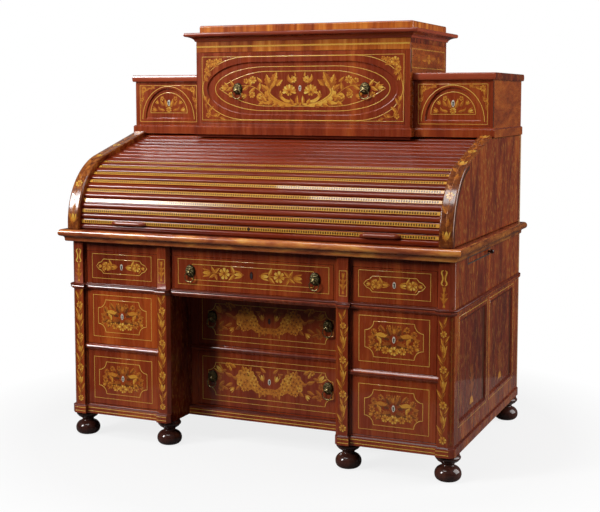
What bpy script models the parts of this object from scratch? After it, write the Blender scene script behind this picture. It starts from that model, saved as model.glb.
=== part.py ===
"""Marquetry cylinder desk with a tambour roll top and a side slide. Metres, +Z up, front at -Y."""

import math

import bmesh
import bpy

for item in list(bpy.data.objects):
    bpy.data.objects.remove(item, do_unlink=True)

# Clearances
GAP = 0.0003
FRONT_GAP = 0.001
RUNNER_GAP = 0.0004
CUT_MARGIN = 0.05
JOIN = 0.006

# Heights of the base, stacked from the floor
FOOT_HEIGHT = 0.0887
PLINTH_HEIGHT = 0.033
SILL_HEIGHT = 0.006
LOWER_DRAWER_HEIGHT = 0.200
DIVIDER_HEIGHT = 0.026
MIDDLE_DRAWER_HEIGHT = 0.200
WAIST_HEIGHT = 0.026
FRIEZE_DRAWER_HEIGHT = 0.120
TOP_RAIL_HEIGHT = 0.035
BOARD_THICKNESS = 0.0447

# Widths of the base, from the middle outwards
KNEEHOLE_WIDTH = 0.637
INNER_PILASTER = 0.0485
BAY_WIDTH = 0.314
OUTER_PILASTER = 0.051
BAY_FRAME = 0.008
CHEST_STILE = 0.028
FRIEZE_STILE = 0.010
SIDE_BOARD = 0.024
CHEST_SIDE_BOARD = 0.014
DUST_BOARD = 0.012
FRAME_DEPTH = 0.045

# Depths of the base
CARCASE_DEPTH = 0.913
BACK_THICKNESS = 0.0137
BOARD_OVERHANG = 0.037
BOARD_SIDE_OVERHANG = 0.032
PILASTER_RELIEF = 0.015
INNER_CORNER = 0.012
OUTER_CORNER = 0.016
FRIEZE_SETBACK = 0.004
KNEEHOLE_DEPTH = 0.165
CHEST_PLINTH_STEP = 0.022

# Mouldings of the base
PLINTH_STEP = 0.006
PLINTH_CHAMFER = 0.004
WAIST_BEAD = 0.009
DIVIDER_BEAD = 0.008
BEAD_MARGIN = 0.003
BOARD_EDGE_DEPTH = 0.030

# Sunk panels in the outer sides
SIDE_PANEL_DEPTH = 0.005
SIDE_STILE_FRONT = 0.078
SIDE_STILE_MIDDLE = 0.056
SIDE_STILE_REAR = 0.091
SIDE_RAIL_LOW = 0.065
SIDE_RAIL_HIGH = 0.020

# Feet
FOOT_RADIUS = 0.0465
FOOT_SEGMENTS = 28
FOOT_OUTER_INSET = 0.0285
FOOT_INNER_INSET = 0.0325
FOOT_FRONT_INSET = 0.052
FOOT_REAR_INSET = 0.045

# Drawer boxes
DRAWER_BACK_SPACE = 0.198
DRAWER_REST = 0.010
FRONT_THICKNESS = 0.020
TRAY_WALL = 0.010
TRAY_BOTTOM = 0.008
TRAY_DROP = 0.012
TRAY_INSET = 0.0012

# Pull-out slide in the right side
SLIDE_THICKNESS = 0.018
SLIDE_WIDTH = 0.292
SLIDE_LENGTH = 0.300
SLIDE_FRONT = 0.165
SLIDE_ROOF = 0.007
SLIDE_KNOB_INSET = 0.022
KNOB_RADIUS = 0.008
KNOB_LENGTH = 0.020
KNOB_SEGMENTS = 16

# Roll-top sides: upright, knuckle and slope
RAIL_THICKNESS = 0.0485
RAIL_ADVANCE = 0.021
KNUCKLE_RISE = 0.020
KNUCKLE_RADIUS = 0.2546
RAMP_ANGLE = math.radians(15.5)
RAMP_LIP = 0.009
ARC_STEPS = 16

# Tambour curtain
SLAT_INSET = 0.017
SLAT_THICKNESS = 0.014
SLAT_GAP = 0.0015
SLAT_BACK_CHAMFER = 0.0015
SLAT_END_GAP = 0.0005
LEAD_GAP = 0.0005
SINGLE_SLATS = 8
UPPER_RUNS = (3, 3, 3)
RAMP_END_MARGIN = 0.0025
REAR_BEND_RADIUS = 0.25
CURTAIN_TRAVEL = 0.30
CURTAIN_TUCK = 0.0785
LEAST_TURN = math.radians(5)
GRIP_LENGTH = 0.143
GRIP_INSET = 0.203
GRIP_HEIGHT = 0.015
GRIP_DEPTH = 0.014
GRIP_TAPER = 0.016
GRIP_LIFT = 0.001

# Pigeonhole unit on the writing surface
PIGEON_SETBACK = 0.390
PIGEON_CLEARANCE = 0.040
PIGEON_BACK_SPACE = 0.035
PIGEON_WALL = 0.009
PIGEON_LOW_HEIGHT = 0.075
PIGEON_LOW_CELLS = 3
PIGEON_HIGH_CELLS = 5

# Upper stage
STAGE_SETBACK = 0.473
BAND_HEIGHT = 0.032
BAND_STEP = 0.008
BAND_CHAMFER = 0.004
STAGE_HEIGHT = 0.173
CAP_THICKNESS = 0.026
CAP_STEP = 0.007
CAP_ROUND = 0.006
CENTRE_WIDTH = 0.872
CENTRE_PROJECTION = 0.035
CENTRE_HEIGHT = 0.308
CENTRE_BACK_INSET = 0.023
CHANNEL_RISE = 0.012
STAGE_FRAME = 0.012
STAGE_RAIL = 0.007
STAGE_BACK_WALL = 0.020
CENTRE_FRAME = 0.020
CENTRE_RAIL_LOW = 0.012
CENTRE_RAIL_HIGH = 0.024
LUNETTE_SIDE_MARGIN = 0.024
LUNETTE_TOP_MARGIN = 0.019
LUNETTE_SILL = 0.018
LUNETTE_DEPTH = 0.006
LUNETTE_STEPS = 20
OVAL_SIDE_MARGIN = 0.040
OVAL_END_MARGIN = 0.034
OVAL_DROP = 0.012
OVAL_DEPTH = 0.006
OVAL_STEPS = 48

# Cornice and attic block
CORNICE_STEP = 0.037
CORNICE_HEIGHT = 0.050
ATTIC_FRONT_INSET = 0.0245
ATTIC_HEIGHT = 0.030
ATTIC_CHAMFER = 0.006

# Lion-mask ring pulls
MASK_RADIUS = 0.021
MASK_DEPTH = 0.009
MASK_SEGMENTS = 24
LUG_WIDTH = 0.009
LUG_WALL = 0.0035
LUG_DROP = 0.004
EYE_CLEARANCE = 0.0004
EYE_SINK = 0.0005
EYE_SEGMENTS = 16
RING_RADIUS = 0.0175
RING_THICKNESS = 0.002
RING_SEGMENTS = 28
RING_SIDES = 8
FRIEZE_PULL_INSET = 0.0685
CHEST_PULL_INSET = 0.0605
UPPER_PULL_INSET = 0.156
PULL_LIFT = 0.008

# Shading
SHARP_ANGLE = math.radians(35)

# Colours, roughness and metallic value
MAHOGANY = ((0.22, 0.055, 0.022, 1.0), 0.22, 0.0)
GOLDEN = ((0.34, 0.13, 0.04, 1.0), 0.24, 0.0)
DARK_WOOD = ((0.035, 0.012, 0.008, 1.0), 0.18, 0.0)
PLAIN_WOOD = ((0.30, 0.16, 0.08, 1.0), 0.50, 0.0)
BRASS = ((0.45, 0.36, 0.17, 1.0), 0.32, 1.0)

# Turned and moulded outlines, as shares of their own radius, depth and height
FOOT_PROFILE = (
    (0.78, 1.00),
    (0.91, 0.94),
    (0.92, 0.87),
    (0.74, 0.80),
    (0.50, 0.75),
    (0.51, 0.70),
    (0.77, 0.62),
    (0.94, 0.50),
    (1.00, 0.36),
    (0.93, 0.21),
    (0.73, 0.08),
    (0.47, 0.00),
)
BOARD_PROFILE = (
    (1.00, 0.00),
    (0.72, 0.16),
    (0.26, 0.34),
    (0.06, 0.50),
    (0.00, 0.68),
    (0.10, 0.86),
    (0.32, 0.96),
    (0.56, 1.00),
)
CORNICE_PROFILE = (
    (0.10, 0.00),
    (0.14, 0.12),
    (0.26, 0.22),
    (0.32, 0.40),
    (0.62, 0.60),
    (0.86, 0.68),
    (1.00, 0.76),
    (1.00, 0.92),
    (0.92, 1.00),
)
MASK_PROFILE = (
    (1.00, 0.00),
    (1.00, 0.33),
    (0.86, 0.62),
    (0.62, 0.82),
    (0.34, 0.95),
    (0.12, 1.00),
)
KNOB_PROFILE = (
    (0.50, 0.00),
    (0.48, 0.25),
    (0.90, 0.45),
    (1.00, 0.65),
    (0.84, 0.88),
    (0.40, 1.00),
)

# One slat across its width and its thickness: bead below, cove, then the broad band
SLAT_PROFILE = (
    (1.00, 0.07),
    (1.00, 0.43),
    (0.75, 0.79),
    (0.21, 0.89),
    (-0.32, 0.79),
    (-0.51, 0.46),
    (-0.56, 0.80),
    (-0.69, 1.00),
    (-0.85, 0.94),
    (-0.98, 0.60),
    (-1.00, 0.14),
)
GRIP_PROFILE = ((0.0, 0.15), (0.35, 0.0), (1.0, 0.30))
BEAD_PROFILE = ((0.0, 0.0), (0.2, 0.75), (0.5, 1.0), (0.8, 0.75), (1.0, 0.0))

# Levels
Z_PLINTH = FOOT_HEIGHT + GAP
Z_SILL = Z_PLINTH + PLINTH_HEIGHT
Z_LOWER = Z_SILL + SILL_HEIGHT
Z_DIVIDER = Z_LOWER + LOWER_DRAWER_HEIGHT
Z_MIDDLE = Z_DIVIDER + DIVIDER_HEIGHT
Z_WAIST = Z_MIDDLE + MIDDLE_DRAWER_HEIGHT
Z_FRIEZE = Z_WAIST + WAIST_HEIGHT
Z_TOP_RAIL = Z_FRIEZE + FRIEZE_DRAWER_HEIGHT
Z_CARCASE = Z_TOP_RAIL + TOP_RAIL_HEIGHT
Z_BOARD = Z_CARCASE + GAP
Z_DESK = Z_BOARD + BOARD_THICKNESS

# Positions across
X_INNER = KNEEHOLE_WIDTH / 2
X_BAY_IN = X_INNER + INNER_PILASTER
X_BAY_OUT = X_BAY_IN + BAY_WIDTH
X_OUTER = X_BAY_OUT + OUTER_PILASTER
X_RAIL = X_OUTER - RAIL_THICKNESS
X_CENTRE = CENTRE_WIDTH / 2
X_SLAT = X_RAIL - SLAT_END_GAP

# Positions from front to back
DEPTH = BOARD_OVERHANG + CARCASE_DEPTH + GAP + BACK_THICKNESS
Y_FRONT = BOARD_OVERHANG - DEPTH / 2
Y_BACK = Y_FRONT + CARCASE_DEPTH
Y_BAY = Y_FRONT + PILASTER_RELIEF
Y_CENTRE_FRIEZE = Y_BAY + FRIEZE_SETBACK
Y_CHEST = Y_FRONT + KNEEHOLE_DEPTH
Y_STAGE = Y_FRONT + STAGE_SETBACK
Y_CENTRE = Y_STAGE - CENTRE_PROJECTION
Y_CENTRE_BACK = Y_BACK - CENTRE_BACK_INSET
Y_BAND = Y_STAGE - BAND_STEP
Y_DRAWER_END = Y_BACK - DRAWER_BACK_SPACE

# Roll-top outline
Y_RAIL = Y_FRONT - RAIL_ADVANCE
Y_KNUCKLE = Y_RAIL + KNUCKLE_RADIUS
Z_KNUCKLE = Z_DESK + KNUCKLE_RISE
KNUCKLE_TURN = math.pi / 2 - RAMP_ANGLE
Y_RAMP = Y_KNUCKLE - KNUCKLE_RADIUS * math.sin(RAMP_ANGLE)
Z_RAMP = Z_KNUCKLE + KNUCKLE_RADIUS * math.cos(RAMP_ANGLE)
Y_RAMP_END = Y_BAND - GAP
Z_RAMP_END = Z_RAMP + (Y_RAMP_END - Y_RAMP) * math.tan(RAMP_ANGLE)
Z_SIDE = Z_RAMP_END - RAMP_LIP

# Levels of the upper stage
Z_BAND = Z_SIDE + GAP
Z_STAGE = Z_BAND + BAND_HEIGHT
Z_CAP = Z_STAGE + STAGE_HEIGHT
Z_CAP_TOP = Z_CAP + CAP_THICKNESS
Z_CENTRE = Z_STAGE + CENTRE_HEIGHT
Z_CORNICE = Z_CENTRE + GAP


# Shape helpers
def add_loft(mesh, rings):
    """Joins rings of points with quads and closes both ends; they run anticlockwise from the far end."""
    rows = [[mesh.verts.new(point) for point in ring] for ring in rings]
    count = len(rows[0])
    for low, high in zip(rows, rows[1:]):
        for i in range(count):
            j = (i + 1) % count
            mesh.faces.new((low[i], low[j], high[j], high[i]))
    mesh.faces.new(rows[0][::-1])
    mesh.faces.new(rows[-1])


def rectangle(x0, x1, y0, y1, z):
    return [(x0, y0, z), (x1, y0, z), (x1, y1, z), (x0, y1, z)]


def add_box(mesh, x0, x1, y0, y1, z0, z1):
    add_loft(mesh, [rectangle(x0, x1, y0, y1, z0), rectangle(x0, x1, y0, y1, z1)])


def add_bar(mesh, outline, x0, x1):
    """A bar along X whose (y, z) outline runs anticlockwise seen from +X."""
    add_loft(mesh, [[(x, y, z) for y, z in outline] for x in (x0, x1)])


def add_turned(mesh, profile, place, segments):
    """A turned solid; place maps (radius * cos, radius * sin, height) to a point, with height rising."""
    rings = []
    for radius, height in profile:
        turns = [2 * math.pi * i / segments for i in range(segments)]
        rings.append([place(radius * math.cos(t), radius * math.sin(t), height) for t in turns])
    add_loft(mesh, rings)


def new_object(name, mesh, origin):
    bmesh.ops.translate(mesh, verts=mesh.verts, vec=[-value for value in origin])
    bmesh.ops.recalc_face_normals(mesh, faces=mesh.faces)
    data = bpy.data.meshes.new(name)
    mesh.to_mesh(data)
    mesh.free()
    thing = bpy.data.objects.new(name, data)
    thing.location = origin
    bpy.context.scene.collection.objects.link(thing)
    return thing


def add_node(name, mesh, look, origin=(0.0, 0.0, 0.0), smooth=False):
    thing = new_object(name, mesh, origin)
    colour, roughness, metallic = look
    skin = bpy.data.materials.new(name)
    skin.use_nodes = True
    shader = skin.node_tree.nodes["Principled BSDF"]
    shader.inputs["Base Color"].default_value = colour
    shader.inputs["Roughness"].default_value = roughness
    shader.inputs["Metallic"].default_value = metallic
    thing.data.materials.append(skin)
    if smooth:
        thing.data.shade_smooth()
        thing.data.set_sharp_from_angle(angle=SHARP_ANGLE)
    return thing


def combine(thing, mesh, operation):
    """Joins or cuts a hidden helper with a Boolean modifier."""
    name = f"{thing.name}_{operation.lower()}_{len(thing.modifiers)}"
    helper = new_object(name, mesh, tuple(thing.location))
    helper.hide_render = True
    helper.display_type = "WIRE"
    boolean = thing.modifiers.new(name, "BOOLEAN")
    boolean.operation = operation
    boolean.solver = "EXACT"
    boolean.object = helper


# Pedestals
def pedestal_outline(side, z, grow, bay):
    """Plan of a pedestal at height z; grow swells the mouldings, bay the front between the pilasters."""
    front = Y_FRONT - grow
    outer = X_OUTER + grow
    plan = [
        (X_INNER + GAP, front + INNER_CORNER),
        (X_INNER + GAP + INNER_CORNER, front),
        (X_BAY_IN + grow, front),
        (X_BAY_IN + grow, Y_BAY - bay),
        (X_BAY_OUT - grow, Y_BAY - bay),
        (X_BAY_OUT - grow, front),
        (outer - OUTER_CORNER, front),
        (outer, front + OUTER_CORNER),
        (outer, Y_BACK),
        (X_INNER + GAP, Y_BACK),
    ]
    points = [(side * x, y, z) for x, y in plan]
    return points if side > 0 else points[::-1]


def bead(z0, z1, grow, bay):
    """Rings of a half-round moulding between two levels."""
    low = z0 + BEAD_MARGIN
    high = z1 - BEAD_MARGIN
    span = high - low
    return [(low + span * up, grow * out, bay * out) for up, out in BEAD_PROFILE]


BAYS = (
    ("lower", Z_LOWER, Z_DIVIDER),
    ("middle", Z_MIDDLE, Z_WAIST),
    ("frieze", Z_FRIEZE, Z_TOP_RAIL),
)
HOLLOWS = (
    (Z_LOWER, Z_MIDDLE - DUST_BOARD),
    (Z_MIDDLE, Z_FRIEZE - DUST_BOARD),
    (Z_FRIEZE, Z_TOP_RAIL),
)
X_POCKET_IN = X_BAY_IN + BAY_FRAME
X_POCKET_OUT = X_BAY_OUT - BAY_FRAME
Y_SLIDE = Y_FRONT + SLIDE_FRONT
Z_SLIDE = Z_CARCASE - SLIDE_ROOF - SLIDE_THICKNESS
SIDE_STILES = SIDE_STILE_FRONT + SIDE_STILE_MIDDLE + SIDE_STILE_REAR
SIDE_PANEL_LENGTH = (CARCASE_DEPTH - SIDE_STILES) / 2
SIDE_PANEL_STARTS = (
    Y_FRONT + SIDE_STILE_FRONT,
    Y_FRONT + SIDE_STILE_FRONT + SIDE_PANEL_LENGTH + SIDE_STILE_MIDDLE,
)


def add_side_box(mesh, side, x0, x1, y0, y1, z0, z1):
    left, right = sorted((side * x0, side * x1))
    add_box(mesh, left, right, y0, y1, z0, z1)


def make_pedestal(name, side, with_slide):
    levels = [(Z_PLINTH, PLINTH_STEP, PLINTH_STEP)]
    levels.append((Z_SILL - PLINTH_CHAMFER, PLINTH_STEP, PLINTH_STEP))
    levels.append((Z_SILL, 0.0, 0.0))
    levels += bead(Z_DIVIDER, Z_MIDDLE, 0.0, DIVIDER_BEAD)
    levels += bead(Z_WAIST, Z_FRIEZE, WAIST_BEAD, WAIST_BEAD)
    levels.append((Z_CARCASE, 0.0, 0.0))
    mesh = bmesh.new()
    add_loft(mesh, [pedestal_outline(side, z, grow, bay) for z, grow, bay in levels])
    carcase = add_node(name, mesh, MAHOGANY)
    cuts = bmesh.new()
    pocket_end = Y_BACK + CUT_MARGIN
    for _, low, high in BAYS:
        add_side_box(cuts, side, X_POCKET_IN, X_POCKET_OUT, Y_FRONT - CUT_MARGIN, pocket_end, low, high)
    panel_low = Z_SILL + SIDE_RAIL_LOW
    panel_high = Z_WAIST - SIDE_RAIL_HIGH
    panel_floor = X_OUTER - SIDE_PANEL_DEPTH
    for start in SIDE_PANEL_STARTS:
        end = start + SIDE_PANEL_LENGTH
        add_side_box(cuts, side, panel_floor, X_OUTER + CUT_MARGIN, start, end, panel_low, panel_high)
    if with_slide:
        slot_low = Z_SLIDE - RUNNER_GAP
        slot_high = Z_SLIDE + SLIDE_THICKNESS + FRONT_GAP
        slot_in = X_OUTER - SLIDE_LENGTH - FRONT_GAP
        slot_front = Y_SLIDE - FRONT_GAP
        slot_back = Y_SLIDE + SLIDE_WIDTH + FRONT_GAP
        add_side_box(cuts, side, slot_in, X_OUTER + CUT_MARGIN, slot_front, slot_back, slot_low, slot_high)
    combine(carcase, cuts, "DIFFERENCE")
    hollows = bmesh.new()
    hollow_in = X_INNER + GAP + SIDE_BOARD
    hollow_out = X_OUTER - SIDE_BOARD
    for low, high in HOLLOWS:
        add_side_box(hollows, side, hollow_in, hollow_out, Y_BAY + FRAME_DEPTH, pocket_end, low, high)
    combine(carcase, hollows, "DIFFERENCE")


make_pedestal("left_pedestal", -1, False)
make_pedestal("right_pedestal", 1, True)

# Centre carcase: the frieze above the kneehole and the chest set back in it
X_CHEST_POCKET = X_INNER - CHEST_STILE
X_FRIEZE_POCKET = X_INNER - FRIEZE_STILE
CHEST_ROWS = (("lower", Z_LOWER, Z_DIVIDER), ("upper", Z_MIDDLE, Z_WAIST - SILL_HEIGHT))


def make_centre_carcase():
    chest_bead = bead(Z_DIVIDER, Z_MIDDLE, 0.0, DIVIDER_BEAD)
    waist_bead = bead(Z_WAIST, Z_FRIEZE, 0.0, WAIST_BEAD)
    outline = [
        (Y_CHEST - CHEST_PLINTH_STEP, Z_PLINTH),
        (Y_BACK, Z_PLINTH),
        (Y_BACK, Z_CARCASE),
        (Y_CENTRE_FRIEZE, Z_CARCASE),
    ]
    outline += [(Y_CENTRE_FRIEZE - out, z) for z, _, out in reversed(waist_bead)]
    outline.append((Y_CENTRE_FRIEZE, Z_WAIST))
    outline.append((Y_CHEST, Z_WAIST))
    outline += [(Y_CHEST - out, z) for z, _, out in reversed(chest_bead)]
    outline.append((Y_CHEST, Z_SILL))
    outline.append((Y_CHEST - CHEST_PLINTH_STEP + PLINTH_CHAMFER, Z_SILL))
    outline.append((Y_CHEST - CHEST_PLINTH_STEP, Z_SILL - PLINTH_CHAMFER))
    mesh = bmesh.new()
    add_bar(mesh, outline, -X_INNER, X_INNER)
    carcase = add_node("centre_carcase", mesh, MAHOGANY)
    cuts = bmesh.new()
    pocket_end = Y_BACK + CUT_MARGIN
    for _, low, high in CHEST_ROWS:
        add_box(cuts, -X_CHEST_POCKET, X_CHEST_POCKET, Y_CHEST - CUT_MARGIN, pocket_end, low, high)
    frieze_start = Y_CENTRE_FRIEZE - CUT_MARGIN
    add_box(cuts, -X_FRIEZE_POCKET, X_FRIEZE_POCKET, frieze_start, pocket_end, Z_FRIEZE, Z_TOP_RAIL)
    combine(carcase, cuts, "DIFFERENCE")
    hollows = bmesh.new()
    half = X_INNER - CHEST_SIDE_BOARD
    for low, high in HOLLOWS[:2]:
        add_box(hollows, -half, half, Y_CHEST + FRAME_DEPTH, pocket_end, low, high)
    combine(carcase, hollows, "DIFFERENCE")


make_centre_carcase()

# Desk board with a thumb-moulded edge
board = bmesh.new()
board_rings = []
for share_in, share_up in BOARD_PROFILE:
    inset = BOARD_EDGE_DEPTH * share_in
    half = X_OUTER + BOARD_SIDE_OVERHANG - inset
    board_front = Y_FRONT - BOARD_OVERHANG + inset
    level = Z_BOARD + BOARD_THICKNESS * share_up
    board_rings.append(rectangle(-half, half, board_front, Y_BACK - inset, level))
add_loft(board, board_rings)
add_node("desk_board", board, GOLDEN)

# Bun feet
X_FOOT_OUTER = X_OUTER - FOOT_OUTER_INSET
X_FOOT_INNER = X_INNER + FOOT_INNER_INSET
Y_FOOT_FRONT = Y_FRONT + FOOT_FRONT_INSET
Y_FOOT_REAR = Y_BACK - FOOT_REAR_INSET
FEET = (
    ("foot_front_left_outer", -X_FOOT_OUTER, Y_FOOT_FRONT),
    ("foot_front_left_inner", -X_FOOT_INNER, Y_FOOT_FRONT),
    ("foot_front_right_inner", X_FOOT_INNER, Y_FOOT_FRONT),
    ("foot_front_right_outer", X_FOOT_OUTER, Y_FOOT_FRONT),
    ("foot_rear_left", -X_FOOT_OUTER, Y_FOOT_REAR),
    ("foot_rear_right", X_FOOT_OUTER, Y_FOOT_REAR),
)
for name, x, y in FEET:
    foot = bmesh.new()
    turned = [(FOOT_RADIUS * r, FOOT_HEIGHT * h) for r, h in reversed(FOOT_PROFILE)]
    add_turned(foot, turned, lambda u, v, h, x=x, y=y: (x + u, y + v, h), FOOT_SEGMENTS)
    add_node(name, foot, DARK_WOOD, (x, y, 0.0), smooth=True)

# Back panel behind the carcase and the roll top
back = bmesh.new()
add_box(back, -X_OUTER, X_OUTER, Y_BACK + GAP, Y_BACK + GAP + BACK_THICKNESS, Z_PLINTH, Z_SIDE)
add_node("back_panel", back, PLAIN_WOOD)

# Roll-top sides
side_outline = [(Y_RAIL, Z_DESK + GAP), (Y_BACK, Z_DESK + GAP), (Y_BACK, Z_SIDE), (Y_RAMP_END, Z_SIDE)]
side_outline.append((Y_RAMP_END, Z_RAMP_END))
for step in range(ARC_STEPS + 1):
    slope = RAMP_ANGLE + KNUCKLE_TURN * step / ARC_STEPS
    arc_y = Y_KNUCKLE - KNUCKLE_RADIUS * math.sin(slope)
    arc_z = Z_KNUCKLE + KNUCKLE_RADIUS * math.cos(slope)
    side_outline.append((arc_y, arc_z))
for name, side in (("rolltop_side_left", -1), ("rolltop_side_right", 1)):
    mesh = bmesh.new()
    ends = sorted((side * X_RAIL, side * X_OUTER))
    add_bar(mesh, side_outline, ends[0], ends[1])
    add_node(name, mesh, GOLDEN)

# Track of the tambour: upright, knuckle, slope, rear bend and level run, along the slats' middle line
TRACK_INSET = SLAT_INSET + SLAT_THICKNESS / 2
TRACK_RADIUS = KNUCKLE_RADIUS - TRACK_INSET
KNUCKLE_RUN = TRACK_RADIUS * KNUCKLE_TURN
BEND_RUN = REAR_BEND_RADIUS * RAMP_ANGLE
Y_SLOPE = Y_KNUCKLE - TRACK_RADIUS * math.sin(RAMP_ANGLE)
Z_SLOPE = Z_KNUCKLE + TRACK_RADIUS * math.cos(RAMP_ANGLE)
Y_SLOPE_END = Y_CENTRE - BAND_STEP - RAMP_END_MARGIN
RAMP_RUN = (Y_SLOPE_END - Y_SLOPE) / math.cos(RAMP_ANGLE)
CURTAIN_LENGTH = KNUCKLE_RISE + KNUCKLE_RUN + RAMP_RUN + CURTAIN_TUCK
SLAT_COUNT = SINGLE_SLATS + sum(UPPER_RUNS)
SLAT_PITCH = (CURTAIN_LENGTH - LEAD_GAP) / SLAT_COUNT


def track(run):
    """The (y, z) point and the slope of the track at a distance from the desk board."""
    if run < KNUCKLE_RISE:
        return Y_KNUCKLE - TRACK_RADIUS, Z_DESK + run, math.pi / 2
    run -= KNUCKLE_RISE
    if run < KNUCKLE_RUN:
        angle = math.pi / 2 - run / TRACK_RADIUS
        return Y_KNUCKLE - TRACK_RADIUS * math.sin(angle), Z_KNUCKLE + TRACK_RADIUS * math.cos(angle), angle
    run -= KNUCKLE_RUN
    cosine = math.cos(RAMP_ANGLE)
    sine = math.sin(RAMP_ANGLE)
    along = min(run, RAMP_RUN)
    y = Y_SLOPE + along * cosine
    z = Z_SLOPE + along * sine
    if run < RAMP_RUN:
        return y, z, RAMP_ANGLE
    run -= RAMP_RUN
    angle = RAMP_ANGLE - min(run, BEND_RUN) / REAR_BEND_RADIUS
    y += REAR_BEND_RADIUS * (sine - math.sin(angle)) + max(run - BEND_RUN, 0.0)
    z += REAR_BEND_RADIUS * (math.cos(angle) - cosine)
    return y, z, angle


def turning_point(middle):
    """The point about which a slat turns from its closed place to its open place, in (y, z)."""
    y0, z0, angle0 = track(middle)
    y1, z1, angle1 = track(middle + CURTAIN_TRAVEL)
    if abs(angle1 - angle0) < LEAST_TURN:
        return (y0, z0)
    reach = 2 * math.tan((angle1 - angle0) / 2)
    return ((y0 + y1) / 2 - (z1 - z0) / reach, (z0 + z1) / 2 + (y1 - y0) / reach)


def make_slats(name, first, count):
    """One slat, or a run of slats on their canvas, as a bar across the desk."""
    half = (SLAT_PITCH - SLAT_GAP) / 2
    middle = LEAD_GAP + SLAT_PITCH * (first + count / 2)
    y, z, angle = track(middle)
    shape = []
    for i in reversed(range(count)):
        shift = SLAT_PITCH * (i - (count - 1) / 2)
        shape += [(shift + half * across, SLAT_THICKNESS / 2 * out) for across, out in SLAT_PROFILE]
    reach = SLAT_PITCH * (count - 1) / 2 + half - SLAT_BACK_CHAMFER
    shape += [(-reach, -SLAT_THICKNESS / 2), (reach, -SLAT_THICKNESS / 2)]
    cosine = math.cos(angle)
    sine = math.sin(angle)
    outline = [(y + a * cosine - n * sine, z + a * sine + n * cosine) for a, n in shape]
    mesh = bmesh.new()
    add_bar(mesh, outline, -X_SLAT, X_SLAT)
    pivot_y, pivot_z = turning_point(middle)
    add_node(name, mesh, MAHOGANY, (0.0, pivot_y, pivot_z))


make_slats("tambour_lead_rail", 0, 1)
for number in range(1, SINGLE_SLATS):
    make_slats(f"tambour_slat_{number + 1}", number, 1)
placed = SINGLE_SLATS
for number, count in enumerate(UPPER_RUNS):
    make_slats(f"tambour_upper_run_{number + 1}", placed, count)
    placed += count

# Wooden finger grips on the lead rail
LEAD_MIDDLE = LEAD_GAP + SLAT_PITCH / 2
LEAD_PIVOT = turning_point(LEAD_MIDDLE)
LEAD_CROWN = max(out for across, out in SLAT_PROFILE if across > 0)
Y_GRIP = track(LEAD_MIDDLE)[0] - SLAT_THICKNESS / 2 * LEAD_CROWN - GAP
Z_GRIP = track(LEAD_MIDDLE)[1] + GRIP_LIFT
X_GRIP = X_SLAT - GRIP_INSET
for name, side in (("tambour_grip_left", -1), ("tambour_grip_right", 1)):
    grip = bmesh.new()
    rings = []
    for share_out, share_up in GRIP_PROFILE:
        half_length = GRIP_LENGTH / 2 - GRIP_TAPER * share_out
        low = Z_GRIP + GRIP_HEIGHT * share_up
        high = Z_GRIP + GRIP_HEIGHT * (1.0 - share_up / 2)
        y = Y_GRIP - GRIP_DEPTH * share_out
        left = side * X_GRIP - half_length
        right = side * X_GRIP + half_length
        rings.append([(left, y, low), (left, y, high), (right, y, high), (right, y, low)])
    add_loft(grip, rings)
    add_node(name, grip, MAHOGANY, (0.0, LEAD_PIVOT[0], LEAD_PIVOT[1]))

# Pigeonhole unit
X_PIGEON = X_RAIL - GAP
Y_PIGEON = Y_FRONT + PIGEON_SETBACK
Y_PIGEON_BACK = Y_BACK - PIGEON_BACK_SPACE
Z_PIGEON = Z_DESK + GAP
Z_CURTAIN = Z_SLOPE + (Y_PIGEON - Y_SLOPE) * math.tan(RAMP_ANGLE)
Z_PIGEON_TOP = Z_CURTAIN - SLAT_THICKNESS / 2 - PIGEON_CLEARANCE
PIGEON_ROWS = (
    (PIGEON_LOW_CELLS, Z_PIGEON + PIGEON_WALL, Z_PIGEON + PIGEON_WALL + PIGEON_LOW_HEIGHT),
    (PIGEON_HIGH_CELLS, Z_PIGEON + 2 * PIGEON_WALL + PIGEON_LOW_HEIGHT, Z_PIGEON_TOP - PIGEON_WALL),
)
pigeon = bmesh.new()
add_box(pigeon, -X_PIGEON, X_PIGEON, Y_PIGEON, Y_PIGEON_BACK, Z_PIGEON, Z_PIGEON_TOP)
unit = add_node("pigeonhole_unit", pigeon, PLAIN_WOOD)
cells = bmesh.new()
for count, low, high in PIGEON_ROWS:
    width = (2 * X_PIGEON - PIGEON_WALL * (count + 1)) / count
    for i in range(count):
        left = -X_PIGEON + PIGEON_WALL + i * (width + PIGEON_WALL)
        add_box(cells, left, left + width, Y_PIGEON - CUT_MARGIN, Y_PIGEON_BACK - PIGEON_WALL, low, high)
combine(unit, cells, "DIFFERENCE")

# Upper stage: band, side cabinets with cap boards, and the taller centre
X_STAGE_POCKET_IN = X_CENTRE + STAGE_FRAME
X_STAGE_POCKET_OUT = X_OUTER - STAGE_FRAME
Z_STAGE_POCKET = Z_STAGE + STAGE_RAIL
Z_STAGE_POCKET_TOP = Z_CAP - STAGE_RAIL
X_CENTRE_POCKET = X_CENTRE - CENTRE_FRAME
Z_CENTRE_POCKET = Z_STAGE + CENTRE_RAIL_LOW
Z_CENTRE_POCKET_TOP = Z_CENTRE - CENTRE_RAIL_HIGH
Y_STAGE_POCKET_END = Y_BACK - STAGE_BACK_WALL
Y_CENTRE_POCKET_END = Y_CENTRE_BACK - STAGE_BACK_WALL


def band_ring(z, grow):
    plan = [
        (-X_OUTER - grow, Y_STAGE - grow),
        (-X_CENTRE - grow, Y_STAGE - grow),
        (-X_CENTRE - grow, Y_CENTRE - grow),
        (X_CENTRE + grow, Y_CENTRE - grow),
        (X_CENTRE + grow, Y_STAGE - grow),
        (X_OUTER + grow, Y_STAGE - grow),
        (X_OUTER + grow, Y_BACK - JOIN),
        (-X_OUTER - grow, Y_BACK - JOIN),
    ]
    return [(x, y, z) for x, y in plan]


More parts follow.
